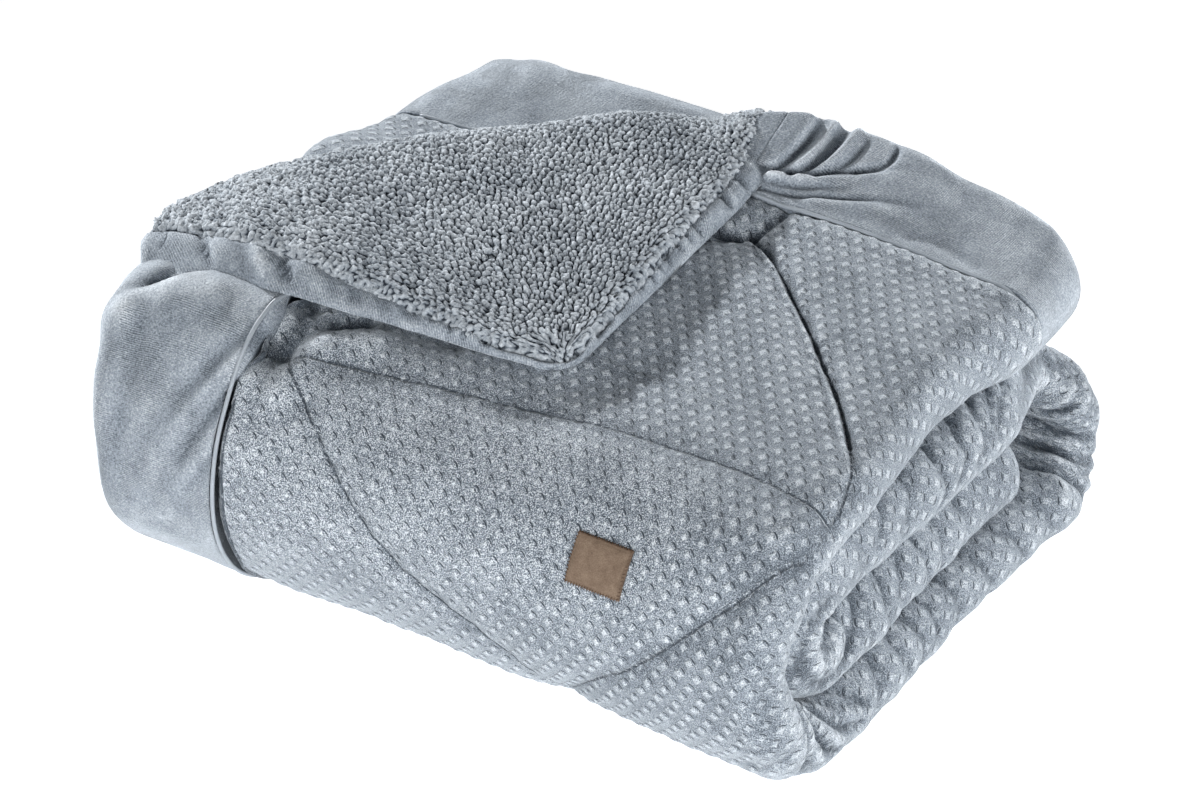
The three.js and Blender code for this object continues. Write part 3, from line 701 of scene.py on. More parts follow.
# Folds that cross the right end, as places round the end from the face and down the path
END_FOLDS = [
    # Second layer, from its far end to the front
    fold(4.5, 4.5, (-14, 1396), (2, 1414), (18, 1432), (35, 1452), (48, 1476)),
    fold(4.5, 4.5, (-16, 1462), (1, 1478), (19, 1490), (34, 1492), (50, 1506)),
    fold(3, 6, (-10, 1566), (20, 1572), (48, 1590)),
    fold(3, 6, (-10, 1640), (16, 1652), (40, 1650)),
    # Third layer
    fold(3.5, 5.25, (20, 1960), (48, 1968), (76, 1975), (96, 1966)),
    fold(3.5, 5.25, (20, 1905), (50, 1897), (72, 1912), (96, 1918)),
    fold(3, 6, (28, 2000), (60, 2010), (92, 2006)),
    fold(3, 6, (30, 1842), (62, 1850), (92, 1866)),
    # Bottom layer
    fold(4, 5.25, (98, 948), (76, 952), (52, 956), (30, 950)),
    fold(4, 5.25, (98, 990), (70, 996), (50, 1004), (28, 1004)),
    fold(3.5, 5.25, (98, 1030), (80, 1036), (62, 1048), (38, 1056)),
    fold(4, 5.25, (98, 884), (73, 890), (54, 894), (30, 888)),
    fold(3.5, 6, (98, 826), (74, 826), (54, 818), (34, 812)),
    fold(3, 6, (98, 1084), (72, 1090), (52, 1096)),
    # Nested folds in the front wrap, and the ridge between them
    fold(9, 5.4, (104, 700), (80, 730), (62, 752), (44, 790)),
    fold(7.5, 4.5, (98, 668), (74, 700), (56, 724), (38, 756)),
    fold(6, 4.5, (90, 640), (70, 668), (50, 694), (30, 722)),
    fold(-2, 5.4, (100, 684), (78, 714), (58, 738), (42, 770)),
    # The inner curl's swirl: outer and inner folds, and their ridge
    fold(5, 5.4, (84, 1850), (60, 1832), (40, 1796), (30, 1752), (44, 1706)),
    fold(4.5, 4.5, (94, 1826), (76, 1802), (62, 1770), (60, 1730), (76, 1700)),
    fold(-2, 5.4, (88, 1838), (66, 1816), (50, 1782), (46, 1742), (60, 1702)),
    # Inside the back fold, and the lump in it
    fold(7.2, 6, (110, 1222), (92, 1216), (74, 1212), (52, 1206)),
    fold(7.2, 6, (110, 1174), (90, 1182), (66, 1176), (48, 1180)),
    fold(7.2, 6, (106, 1134), (84, 1142), (62, 1150), (44, 1150)),
    fold(5.6, 7, (110, 1262), (88, 1256), (66, 1252)),
    fold(-6.4, 12, (84, 1128), (70, 1118)),
    # Fine creases
    fold(4.7, 2.9, (-6, 1384), (12, 1398), (26, 1424), (40, 1440)),
    fold(4.7, 2.9, (-4, 1440), (16, 1456), (34, 1462)),
    fold(4.7, 2.9, (-2, 1520), (22, 1530), (44, 1528), (58, 1540)),
    fold(4.1, 2.9, (2, 1604), (22, 1612), (40, 1630)),
    fold(4.7, 2.9, (46, 1778), (64, 1760), (88, 1752)),
    fold(4.1, 2.9, (44, 1812), (62, 1822), (84, 1818)),
    fold(4.1, 2.9, (30, 1880), (54, 1874), (80, 1886)),
    fold(4.1, 2.9, (34, 1938), (60, 1944), (88, 1938)),
    fold(4.1, 2.9, (96, 912), (72, 918), (50, 914)),
    fold(4.1, 2.9, (94, 862), (70, 858), (48, 866)),
    fold(5.4, 3.3, (100, 760), (84, 778), (62, 796)),
    fold(5.4, 3.3, (84, 690), (62, 716), (44, 742)),
    fold(4.7, 2.9, (102, 730), (86, 752), (70, 776), (56, 800)),
    # Low on the front face
    fold(3, 6.75, (-60, 740), (-20, 728), (20, 716), (56, 706)),
]
# Gathered stretches of the right end: from, to, height and pitch of the gathers
TURN_FOLDS = [(640, 800, 1.6, 14), (1140, 1300, 3.0, 15), (1700, 1830, 1.6, 14)]
BORDER_FOLDS = [
    # The tuck under the corner and its crease, the lobe at the end, and puffs beside them
    fold(10, 9, (-286, 452), (-298, 464), (-312, 474), (-328, 470), fade=36),
    fold(6, 3.6, (-288, 454), (-304, 472), (-318, 484), (-326, 487), fade=20),
    fold(-7, 24, (-346, 438), (-345, 452), (-344, 468)),
    fold(-4, 17, (-336, 506), (-322, 500)),
    fold(-5, 14, (-312, 502), (-284, 486), (-256, 478)),
    # Drags from the piping, and the ridge between them
    fold(3.4, 7, (-214, 494), (-238, 530), (-262, 566), fade=50),
    fold(3, 9, (-212, 535), (-236, 566), (-270, 620), fade=60),
    fold(-2.4, 9, (-214, 514), (-238, 548), (-268, 592), fade=40),
    # At the end, and fine drags
    fold(3.5, 12, (-300, 500), (-296, 540), (-310, 600)),
    fold(-4, 30, (-330, 590), (-326, 650)),
    fold(2, 3.5, (-208, 506), (-226, 536), (-238, 556)),
    fold(2, 3.5, (-206, 520), (-228, 560), (-246, 590)),
    fold(1.6, 3.5, (-204, 560), (-224, 590), (-240, 606)),
]
# Pleats of the back border, fanning out from the corner's back end
BACK_FOLDS = [
    fold(7.5, 5, (50, 104), (64, 84), (70, 52), (66, 20), fade=34),
    fold(-4.2, 5.5, (58, 104), (74, 84), (80, 50), (77, 18)),
    fold(6.2, 4.6, (72, 92), (88, 72), (93, 44), (91, 18), fade=34),
    fold(-4.2, 5.5, (82, 94), (99, 72), (104, 44), (102, 18)),
    fold(4.6, 4.6, (96, 84), (114, 62), (118, 40), (115, 18), fade=30),
    fold(5.2, 4.2, (126, 66), (147, 48), (147, 30), (141, 14), fade=20),
    # Upper, middle and lower lines along the border, and the ridge between the first two
    fold(4.6, 3.6, (46, 103), (90, 86), (128, 66), (168, 46), fade=60),
    fold(-3, 5, (50, 108), (96, 93), (140, 74), fade=40),
    fold(3, 3.2, (46, 114), (92, 102), (128, 90), fade=40),
    fold(4, 3.8, (44, 122), (98, 111), (138, 98), (200, 80), fade=80),
    # A puff by the piping, and two dents
    fold(-2.5, 8, (110, 112), (160, 102), (210, 100), fade=40),
    fold(2.4, 22, (210, 20), (236, 60), (248, 104)),
    fold(2, 9, (210, 112), (240, 104), (280, 112)),
]


def emboss_height(u, v):
    """Height of the diamonds and the dips of their nicks, from 1 to about -1."""
    height, nick = np.zeros(np.shape(u)), np.zeros(np.shape(u))
    for shift in STAGGER:
        du = ((u / EMBOSS_PITCH + 0.5 - shift) % 1 - 0.5) * EMBOSS_PITCH
        dv = ((v / EMBOSS_REPEAT + 0.5 - shift) % 1 - 0.5) * EMBOSS_REPEAT
        r = (np.abs(du) / DIAMOND_U) ** DIAMOND_SIDES + (np.abs(dv) / DIAMOND_V) ** DIAMOND_SIDES
        height = np.maximum(height, 1 - smooth(r, 0.8, 1.2))
        across, along = nick_axes(du - NICK["du"], dv - NICK["dv"])
        nick = np.maximum(nick, bump(across, 0, 1.5) * bump(along, 0, 3.3))
    return height - 0.6 * nick


def nearest_stitch(x, s):
    """Signed distance from the nearest stitched line, 60 where none is near."""
    best = np.full(np.shape(x), 60.0)
    for stitch in STITCHES:
        d, side, _ = line_distance(x, s, stitch["line"])
        best = np.where(d < np.abs(best), d * np.where(side < 0, -1, 1), best)
    return best


def faded_end(crease, along):
    """Share of a fold's depth that is left over the last part of its length."""
    if not crease["fade"]:
        return 1.0
    length = np.hypot(*np.diff(crease["line"], axis=0).T).sum()
    return 1 - 0.85 * smooth(along, length - crease["fade"], length)


def stitch_relief(x, s, stitch, seed):
    """Relief of one stitched line, with small gathers across it."""
    d, side, along = line_distance(x, s, stitch["line"])
    faded = faded_end(stitch, along)
    pull = (1 + 0.15 * noise(along / 12.0, d / 22.0, seed)) * faded
    if stitch["lip"]:
        drawn = np.exp(-d / stitch["width"])
    else:
        drawn = 1 / (1 + (d / stitch["width"]) ** 2) ** 1.5
    lip = stitch["lip"] * bump(d, 4.6, 2.6) * (side > 0) * faded
    return lip - stitch["depth"] * pull * drawn - 0.7 * bump(d, 0, 1.6)


def fold_relief(x, s, folds):
    relief = np.zeros(np.shape(x))
    for crease in folds:
        d, _, along = line_distance(x, s, crease["line"])
        relief -= crease["depth"] * faded_end(crease, along) * bump(d, 0, crease["width"])
    return relief


def seam_groove(s, x, width=GROOVE_WIDTH):
    """The dip along the seams; the centre rounds down to it further than the borders do."""
    to_back = np.where(s < STARTS[1], np.abs(s - BORDER) - SEAM_GAP, width)
    to_left = np.where(s > TURN_ROW, np.abs(x - SEAM_X) - SEAM_GAP, width)
    rounds = quarter_round(to_back, width) * quarter_round(to_left, width)
    return -GROOVE_DEPTH * (width / GROOVE_WIDTH) ** 0.8 * (1 - rounds)


def hem_puff(s, arc):
    """The right end's puff near the back hem."""
    return 14 * between(arc, 0, 60, 90, 150) * between(s, 10, 60, 150, 240)


def end_relief(u, s, face_end):
    """Puffs and folds of the rounded right end."""
    arc = u - face_end
    relief = noise(s / 17.0 + arc / 140.0, arc / 120.0, 21) + bumps(s, arc, (60, 70), 3.0, 23)
    relief = relief + 1.5 * smooth(arc, -10, 30)
    for crease in END_FOLDS:
        d, _, _ = line_distance(arc, s, crease["line"])
        relief -= crease["depth"] * np.exp(-d / crease["width"])
    for first, last, height, pitch in TURN_FOLDS:
        here = between(s, first - 20, first + 30, last - 30, last + 20)
        gathers = np.abs(noise(s / pitch + arc / 90.0, arc / 150.0, 31 + first)) * 2 - 0.7
        relief = relief + here * height * gathers
    return relief * between(arc, -60, 0, 120, 180) + hem_puff(s, arc)


def front_wear_and_light(s, x):
    """Where the front's emboss is flattened and its pile roughed up; there the colour is also painted
    lighter, as painted front light.
    """
    return smooth(s, 425, 500) * (1 - smooth(s + 0.25 * x, 550, 690)) * (1 - smooth(x, 190, 290))


def shoulder(s, x):
    """The cloth heaped up in front of the turned corner's left edge."""
    return 11 * between(s, 440, 474, 486, 548) * smooth(-x, 187, 203) * (1 - 0.6 * smooth(-x, 270, 345))


def on_base(s):
    """Where the bottom layer lies on the surface."""
    return between(s, STARTS[2] - 40, STARTS[2] + 20, STARTS[3] - 40, STARTS[3] + 20)


def spread(grid, reach, wrapped):
    """A grid's values averaged over their neighbours."""
    down, across = np.zeros(grid.shape), np.zeros(grid.shape)
    for k in range(-reach, reach + 1):
        down += grid[np.clip(np.arange(len(grid)) + k, 0, len(grid) - 1)]
    for k in range(-reach, reach + 1):
        columns = np.arange(grid.shape[1]) + k
        across += down[:, columns % len(columns) if wrapped else np.clip(columns, 0, len(columns) - 1)]
    return across / (2 * reach + 1) ** 2


def centre_relief(s, x, u, v, share, face_end):
    """Relief of the embossed centre, and the fields that its material reads."""
    facing = smooth(share, -0.2, 0.5)
    relief = seam_groove(s, x) * smooth(share, 0.0, 1.0) + fold_relief(x, s, CENTRE_FOLDS)
    for k, stitch in enumerate(STITCHES):
        relief = relief + stitch_relief(x, s, stitch, 3 + k)
    slumped = 6 * between(s, 560, 640, 760, 800) * (1 - 0.5 * smooth(x, 100, 250))
    relief = (relief + shoulder(s, x) + bumps(u, v, 85, 3.2, 5, octaves=3) - slumped) * facing
    signed = np.where(share > 0.3, nearest_stitch(x, s), 60)
    line = np.abs(signed)
    gathers = noise(u / 11.0 + v / 37.0, v / 13.0, 11) * 0.9 * np.exp(-line / 20.0)
    relief = relief + gathers + bumps(u, v, 24, 0.8, 7) + end_relief(u, s, face_end)
    relief = relief + 18 * bump(s, 225, 46) * smooth(-x, 190, 320)
    relief = relief - 16 * bump(s, 1322, 55) * smooth(x, 150, 310) * smooth(share, -0.5, 0.3)
    relief = relief * (1 - on_base(s) * smooth(share, 0.4, 0.9))
    # This mask flattens the emboss and roughens the pile, which is real wear, and it also lifts the front's
    # colour as painted light.
    wear_and_front_light = front_wear_and_light(s, x)
    depth = 0.9 * (1 - 0.85 * on_base(s) * facing) * (1 - 0.8 * wear_and_front_light * facing)
    shown = facing * smooth(face_end - u, -12, 4) * smooth(line, 2.0, 6.0)
    relief = relief + emboss_height(u, v) * depth * shown
    return relief, {"stitch": signed, "wear_and_front_light": wear_and_front_light * smooth(share, 0, 0.6)}


def left_border_relief(s, x, u, v, share, face_end):
    facing = smooth(share, -0.2, 0.5)
    drag = noise((u + 0.7 * v) / 26.0, (v - 0.7 * u) / 170.0, 43) * 0.9
    relief = (seam_groove(s, x, BORDER_GROOVE) + fold_relief(x, s, BORDER_FOLDS) + drag) * facing
    end_ripple = noise(s / 24.0, np.abs(u - face_end) / 120.0, 47) * 1.5
    relief = relief + end_ripple * smooth(u, face_end + 10, face_end - 40)
    relief = relief + bumps(u, v, (70, 120), 2.0, 41) + shoulder(s, x)
    return relief * (1 - on_base(s) * smooth(share, 0.4, 0.9)), {}


def back_border_relief(s, x, u, v, share, face_end):
    facing = smooth(share, -0.2, 0.5)
    relief = (seam_groove(s, x, BORDER_GROOVE) + fold_relief(x, s, BACK_FOLDS)) * facing * smooth(s, 0, 26)
    swell = 4 * between(x, -200, -100, 20, 60) * smooth(s, 5, 30) * facing
    return relief + bumps(u, v, (70, 60), 2.4, 51) + swell + hem_puff(s, u - face_end) * (face_end > 0), {}


# A layer's rows are closed loops: across the face, round the end, back along the lining, up the wall

def layer_points(s, x, share, side):
    """Points of a layer; share runs from 1 on the face to -1 on the lining."""
    ends = quarter_round(s, END_ROUND) * quarter_round(PATH_LENGTH - s, END_ROUND)
    if side > 0:
        ends = ends * quarter_round(x - LEFT, END_ROUND)
    half = ((LAYER / 2 - EDGE_THICK) * ends + EDGE_THICK) * share
    return lifted(s, x, half - under_corner(s, x) * ends * np.maximum(share, 0))


def layer_loops(rows, wall_at, side, face_count, lining_count, end_count, sparse=None):
    """Loops of x, share and distance round the loop. side is 1 for a right end, -1 for a left one."""
    edge = RIGHT - END_ROUND if side > 0 else LEFT + END_ROUND
    t = np.linspace(0, 1, face_count)
    if sparse:
        until, few = sparse
        t = np.r_[np.linspace(0, until, few, endpoint=False), np.linspace(until, 1, face_count)]
    angles = np.linspace(np.pi / 2, -np.pi / 2, end_count + 2)[1:-1]
    lining_t = np.linspace(1, 0, lining_count)
    wall_share = np.linspace(-1, 1, 5)[1:-1]
    wall = wall_at(rows)[:, None]
    x = np.concatenate([
        wall + (edge - wall) * t, edge + side * END_ROUND * np.cos(angles) + 0 * wall,
        wall + (edge - wall) * lining_t, wall + 0 * wall_share,
    ], 1)
    share = np.concatenate([np.ones(len(t)), np.sin(angles), -np.ones(lining_count), wall_share])
    arc_end = edge + side * END_ROUND * np.pi
    arc = np.concatenate([
        edge + 0 * t, edge + side * END_ROUND * (np.pi / 2 - angles), np.full(lining_count + 3, arc_end),
    ])
    flat = np.concatenate([np.ones(len(t)), np.zeros(end_count), -np.ones(lining_count + 3)])
    u = np.where(flat > 0, x, np.where(flat < 0, arc + (edge - x), arc))
    return x, share + 0 * x, u, edge


def layer_piece(name, rows, wall_at, side, counts, relief_at, material, sparse=None):
    x, share, u, edge = layer_loops(rows, wall_at, side, *counts, sparse)
    s = rows[:, None] + 0 * x
    _, _, ny, nz, _, v = path_at(s)
    points = layer_points(s, x, share, side)
    relief, fields = relief_at(s, x, u, v, share, edge)
    broad = grid_normals(points, True)
    facing = (broad[..., 1] * ny + broad[..., 2] * nz) * np.sign(share)
    if np.median(facing[np.abs(share) > 0.9]) < 0:
        broad = -broad
    points = points + broad * relief[..., None]
    points[..., 2] = np.maximum(points[..., 2], 0.0)
    uv = np.stack([np.concatenate([u, u[:, -1:] + 1], 1), np.concatenate([v, v[:, -1:]], 1)], -1)
    # Painted shade: how far the relief dips below the average around it, which darkens the cloth's colour
    # in creases.
    crease_shade = spread(relief, 3 if COARSER > 1 else 5, True) - relief
    obj = ring_solid(name, points, uv, {"crease_shade": crease_shade, **fields})
    obj.data.materials.append(material)
    return obj


def rows_between(start, end, step):
    return np.linspace(start, end, int(round((end - start) / step)) + 1)


def hem_rows(start, end, step):
    """Rows that close up towards a hem at start or end of the path."""
    bend = END_ROUND * (1 - np.cos(np.linspace(0, np.pi / 2, 12)))
    if start == 0:
        return np.r_[bend[:-1], rows_between(END_ROUND, end, step)]
    return np.r_[rows_between(start, end - END_ROUND, step), (end - bend[:-1])[::-1]]


def centre_wall(rows):
    return LEFT + (SEAM_X - LEFT) * np.clip((rows - TURN_ROW) / 6, 0, 1)


def build_centre():
    outer = layer_piece(
        "quilted_centre_outer", rows_between(BORDER, OUTER_END, 2.2 * COARSER), centre_wall, 1,
        (int(262 / COARSER), 24, 20), centre_relief, EMBOSSED,
    )
    inner = layer_piece(
        "quilted_centre_inner", hem_rows(OUTER_END, PATH_LENGTH, 3.4 * COARSER), centre_wall, 1,
        (int(60 / COARSER), 40, 22), centre_relief, EMBOSSED, sparse=(0.72, 26),
    )
    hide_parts("quilted_centre")
    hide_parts("quilted_centre")
    return [outer, inner]


def build_left_border():
    outer = rows_between(TURN_ROW + 6.5, OUTER_END, 2.8 * COARSER)
    inner = hem_rows(OUTER_END + 6, PATH_LENGTH, 6.5 * COARSER)
    piece = layer_piece(
        "border_left_cloth", np.r_[outer, inner], lambda r: SEAM_X - SEAM_GAP + 0 * r, -1,
        (int(44 / COARSER), 14, 22), left_border_relief, PLAIN,
    )
    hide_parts("border_left")
    return [piece]


def build_back_borders():
    rows = hem_rows(0, BORDER - SEAM_GAP, 1.6 * COARSER)
    top = layer_piece(
        "border_back_cloth", rows, lambda r: BAND_SPLIT + 0 * r, 1,
        (int(190 / COARSER), 30, 22), back_border_relief, PLAIN,
    )
    under = layer_piece(
        "border_under_cloth", rows, lambda r: BAND_SPLIT - SEAM_GAP + 0 * r, -1,
        (int(110 / COARSER), 30, 16), back_border_relief, PLAIN,
    )
    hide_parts("border_back")
    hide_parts("border_under")
    return [top, under]


# The turned corner. Its u runs along the fold from the left end, and its rows run from the fold to the tip.

def tip_centre():
    to_left = np.array([-TIP_U, -TIP_V]) / LEFT_SIDE
    to_back = np.array([FOLD_LENGTH - TIP_U, -TIP_V]) / BACK_SIDE
    half = math.acos(float(to_left @ to_back)) / 2
    inward = to_left + to_back
    inward = inward / np.hypot(*inward)
    return np.array([TIP_U, TIP_V]) + inward * TIP_ROUND / math.sin(half)


TIP_MIDDLE = tip_centre()


def left_edge(v):
    return np.maximum(v, 0) * TIP_U / TIP_V + END_DRAW * np.maximum(-v, 0) + 8 * bump(v, 0, 30)


def back_edge(v):
    return FOLD_LENGTH - np.maximum(v, 0) * (FOLD_LENGTH - TIP_U) / TIP_V - 17 * bump(v, 0, 36)


def corner_span(v, inset):
    """Where a row of the corner starts and ends, an inset in from its outer edge."""
    reach = TIP_ROUND - inset
    half = np.sqrt(np.maximum(reach ** 2 - (v - TIP_MIDDLE[1]) ** 2, 4))
    left_tangent = TIP_MIDDLE[1] + reach * TIP_U / LEFT_SIDE
    back_tangent = TIP_MIDDLE[1] + reach * (FOLD_LENGTH - TIP_U) / BACK_SIDE
    start = np.where(v > left_tangent, TIP_MIDDLE[0] - half, left_edge(v) + inset * LEFT_SLANT)
    end = np.where(v > back_tangent, TIP_MIDDLE[0] + half, back_edge(v) - inset * BACK_SLANT)
    return start, end


def edge_distance(u, v):
    to_left = (u - left_edge(v)) / LEFT_SLANT
    to_back = (back_edge(v) - u) / BACK_SLANT
    at_tip = np.maximum(0, TIP_ROUND - np.hypot(u - TIP_MIDDLE[0], v - TIP_MIDDLE[1]))
    straight = np.maximum(0, np.minimum(to_left, to_back))
    return np.where((to_left < TIP_ROUND) & (to_back < TIP_ROUND), at_tip, straight)


def corner_point(u, row, height):
    start, end = corner_span(row, 0)
    bow = bow_at(FOLD_LENGTH * (u - start) / (end - start))
    v = row - bow * (1 - smooth(row, 0, BOW_FADE * TIP_V))
    x = CORNER_LEFT[0] + u * ALONG[0] + v * AHEAD[0]
    y = CORNER_LEFT[1] + u * ALONG[1] + v * AHEAD[1]
    return settle(x, y, height)


def corner_rows(inset, step, stride, round_roll):
    """Rows from the roll at the crest to the tip, with round_roll of them evenly apart round the roll."""
    reach = ROLL_AHEAD + ROLL_BEHIND
    angle = np.linspace(0, np.arccos(ROLL_AHEAD / reach), round_roll)
    roll = ROLL_AHEAD - reach * np.cos(angle[:-1])
    tip = TIP_MIDDLE[1] + (TIP_ROUND - inset) * np.sin(np.linspace(0, np.pi / 2, 14))[1:-1]
    rows = np.r_[roll, rows_between(0, TIP_MIDDLE[1], step), tip]
    extra = (-(len(rows) - 1)) % stride
    last = TIP_MIDDLE[1] + (TIP_ROUND - inset) * 0.999
    return np.r_[rows, np.linspace(tip[-1], last, extra + 1)[1:]]


def corner_grid(rows, inset, rim, count):
    """Places across the corner, closer together towards its outer edges."""
    edge_count = 9
    start, end = corner_span(rows, inset)
    bend = rim * (1 - np.cos(np.linspace(0, np.pi / 2, edge_count)))
    share = np.minimum(1, (end - start) / (4 * rim * BACK_SLANT))[:, None]
    left, right = bend * LEFT_SLANT * share, bend * BACK_SLANT * share
    first, last = start[:, None] + left[:, -1:], end[:, None] - right[:, -1:]
    t = np.linspace(0, 1, count - 2 * edge_count + 2)[None, 1:-1]
    middle = first + (last - first) * t
    return np.concatenate([start[:, None] + left, middle, end[:, None] - right[:, ::-1]], 1)


def sherpa_inset(row):
    """How far the pile stays in from the corner's outer edge: hardly at the tip, more at both ends."""
    return 1.4 + 11 * (1 - np.clip(row / TIP_V, 0, 1)) ** 1.1


def outer_height(u, row, edge):
    """Heights of the corner's rounded lower edge and of its whole outside."""
    low = TOP - UNDER_STEP * smooth(-row, UNDER_FROM, UNDER_TO) + CORNER_GAP
    t = np.clip((ROLL_AHEAD - row) / (ROLL_AHEAD + ROLL_BEHIND), 0, 1)
    high = TOP - UNDER_STEP + CORNER_GAP + (UNDER_STEP + THICK) * np.sqrt(1 - t * t)
    from_tip = np.hypot(u - TIP_MIDDLE[0], row - TIP_MIDDLE[1])
    tall = (np.maximum(high, low + EDGE_THICK) - low) * (1 - 0.36 * bump(from_tip, 0, 95))
    below = low + 0.16 * tall * (1 - quarter_round(edge, 9))
    over = low + tall * (0.16 + 0.84 * quarter_round(edge, EDGE_CURVE))
    return below, np.maximum(over, below + EDGE_THICK)


def sag(u, row):
    """Soft hollows of the turned corner: a broad one in its middle, along the crest and at both ends."""
    middle = -9 * bump(u, 0.62 * FOLD_LENGTH, 80) * bump(row, 90, 80)
    crest = -6 * bump(row, 0, 50) * between(u, 20, 80, 520, 590) - 6 * bump(u, 75, 55) * bump(row, 0, 60)
    ends = -17 * bump(u, 0, 44) * bump(row, 0, 60) - 19 * bump(u, FOLD_LENGTH, 95) * bump(row, 0, 70)
    return middle + crest + ends + bumps(u, row, 90, 2.4, 61) + bumps(u, row, 34, 2.0, 63)


def gathered(u, row, edge):
    """Small gathers across the corner's plain rim."""
    by_left = (u * TIP_U + row * TIP_V) / LEFT_SIDE
    by_back = ((FOLD_LENGTH - u) * (FOLD_LENGTH - TIP_U) + row * TIP_V) / BACK_SIDE
    run = np.where(u < TIP_MIDDLE[0], by_left, -by_back)
    fine_ones = 2.8 * noise(run / 7.0 + edge / 60.0, edge / 40.0, 73)
    coarse_ones = 3.8 * noise(run / 16.0 - edge / 50.0, edge / 40.0, 75)
    pinches = -5.6 * (1 - np.abs(noise(run / 13.0 + edge / 34.0, edge / 60.0, 77))) ** 5
    return (fine_ones + coarse_ones + pinches) * bump(edge, 0, 18) * smooth(edge, 0, 3)


def nub_pattern(top, row, rows):
    """The sherpa's nubs from 0 to 1. Behind the crest the pattern follows the roll down."""
    x, y, z = np.moveaxis(top, -1, 0)
    crest_z = z[np.searchsorted(rows, 0)]
    run = y + np.where(row < 0, 0.6 * crest_z + (crest_z - z), 0.6 * z)
    bend_x, bend_y = (noise(x / NUB_STRAY, y / NUB_STRAY, seed) for seed in (81, 83))
    first, second, own = cells(x / NUB + 0.3 * bend_x, run / NUB + 0.3 * bend_y, 85)
    dome = np.sqrt(np.maximum(1 - (first / 0.85) ** 2, 0))
    return dome * (0.15 + 0.85 * smooth(second - first, 0.0, 0.4)) * (0.7 + 0.3 * own)


def corner_piece(name, grids, relief_at, below_share, map_axes, stride):
    """A plate of the turned corner, with a relief on its top and the sag in all of it."""
    u, row, upper, lower = grids
    top, bottom = corner_point(u, row, upper), corner_point(u, row, lower)
    normal = grid_normals(top, False)
    if normal[..., 2].mean() < 0:
        normal = -normal
    relief, fields = relief_at(top)
    top = top + normal * relief[..., None]
    settled = sag(u, row)
    top[..., 2] += settled
    bottom[..., 2] += settled * below_share
    return plate_solid(name, top, bottom, np.stack(map_axes, -1), stride, fields)


def build_corner_body():
    stride = 2
    rows = corner_rows(0, 2.3 * min(COARSER, 1.4), stride, 18)
    u = corner_grid(rows, 0, EDGE_CURVE, 281)
    row = rows[:, None] + 0 * u
    edge = edge_distance(u, row)
    below, outer = outer_height(u, row, edge)
    under_pile = SHERPA_THICK * smooth(edge - sherpa_inset(row), -1, 5)

    def relief_at(_):
        relief = bumps(u, row, 26, 0.8, 71) * smooth(edge, 0, 3) + gathered(u, row, edge)
        # Painted shade: the rim's colour is darkened where its relief dips below the average around it.
        return relief, {"crease_shade": spread(relief, 2, False) - relief}

    grids = u, row, np.maximum(outer - under_pile, below + 0.8), below
    body = corner_piece("turned_corner_cloth", grids, relief_at, 0.6, (row, u), stride)
    body.data.materials.append(PLAIN)
    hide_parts("turned_corner")
    return [body]


def build_sherpa():
    stride = 4
    rows = corner_rows(3, 1.35 * min(COARSER, 1.5), stride, 42)
    count = int(420 / min(COARSER, 1.5)) // stride * stride + 1
    u = corner_grid(rows, sherpa_inset(rows), SHERPA_RIM, count)
    row = rows[:, None] + 0 * u
    edge = edge_distance(u, row)
    below, outer = outer_height(u, row, edge)
    rim = quarter_round(np.maximum(edge - sherpa_inset(row), 0), SHERPA_RIM)
    lower = np.maximum(outer - SHERPA_THICK + 0.4, below + 1.2)
    upper = lower + (outer - lower + 1.6) * np.maximum(rim, 0.12)

    def relief_at(top):
        nub = nub_pattern(top, row, rows)
        clumps = bumps(top[..., 0], top[..., 1], 16, 1.2, 89)
        height = NUB_HEIGHT * (nub - 0.5) + clumps + gathered(u, row, edge)
        # The nub field also sets the sherpa's colour: painted shade between the nubs and painted light on
        # their tops.
        return height * (0.45 + 0.55 * rim), {"nub": nub}

    grids = u, row, np.maximum(upper, lower + 0.6), lower
    piece = corner_piece("sherpa_pile", grids, relief_at, 1.0, (u, row), stride)
    piece.data.materials.append(SHERPA)
    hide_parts("sherpa_lining")
    return [piece]


# Piping in the seams

def seam_line(s, x):
    s, x = np.broadcast_arrays(np.asarray(s, float), np.asarray(x, float))
    ends = quarter_round(RIGHT - x, END_ROUND) * quarter_round(x - LEFT, END_ROUND)
    half = (LAYER / 2 - EDGE_THICK) * ends + EDGE_THICK - under_corner(s, x) * ends
    return lifted(s, x, half - PIPING_DEPTH + shoulder(s, x))


def build_piping():
    """Closed cords along the seams, with their ends drawn together."""
    sides, step, radius = 14, 2.5, PIPING_RADIUS * PIPING_DRAWN
    left = seam_line(rows_between(TURN_ROW + 12, STARTS[2] - 40, step), SEAM_X - SEAM_GAP / 2)
    under = seam_line(BORDER - SEAM_GAP / 2, rows_between(LEFT + END_ROUND, UNDER_PIPING_END, step))
    back = seam_line(BORDER - SEAM_GAP / 2, rows_between(BAND_SPLIT, RIGHT - 3, step))
    made = []
    for name, line, node in (
        ("piping_left_cord", left, "piping_left"),
        ("piping_under_cord", under, "piping_under"),
        ("piping_back_cord", back, "piping_back"),
    ):
        sizes = np.full(len(line), radius)
        sizes[[0, -1]] *= 0.55
        points, _ = tube_points(line, sizes, sides, [0.31, 0.44, 0.84])
        run = np.r_[0, np.cumsum(np.linalg.norm(np.diff(line, axis=0), axis=1))]
        turn = np.linspace(0, 2 * np.pi * radius, sides + 1)
        uv = np.stack(np.broadcast_arrays(run[:, None], turn[None, :]), -1)
        cord = ring_solid(name, points, uv, {})
        cord.data.materials.append(SATIN)
        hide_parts(node)
        made.append(cord)
    return made


# The bare patch and its edge stitching

def patch_points(across, down, lift):
    s = PATCH["along"] + down / (1 + LAYER / 2 / WRAP_RADIUS)
    return lifted(s, PATCH["x"] + across, LAYER / 2 + lift)


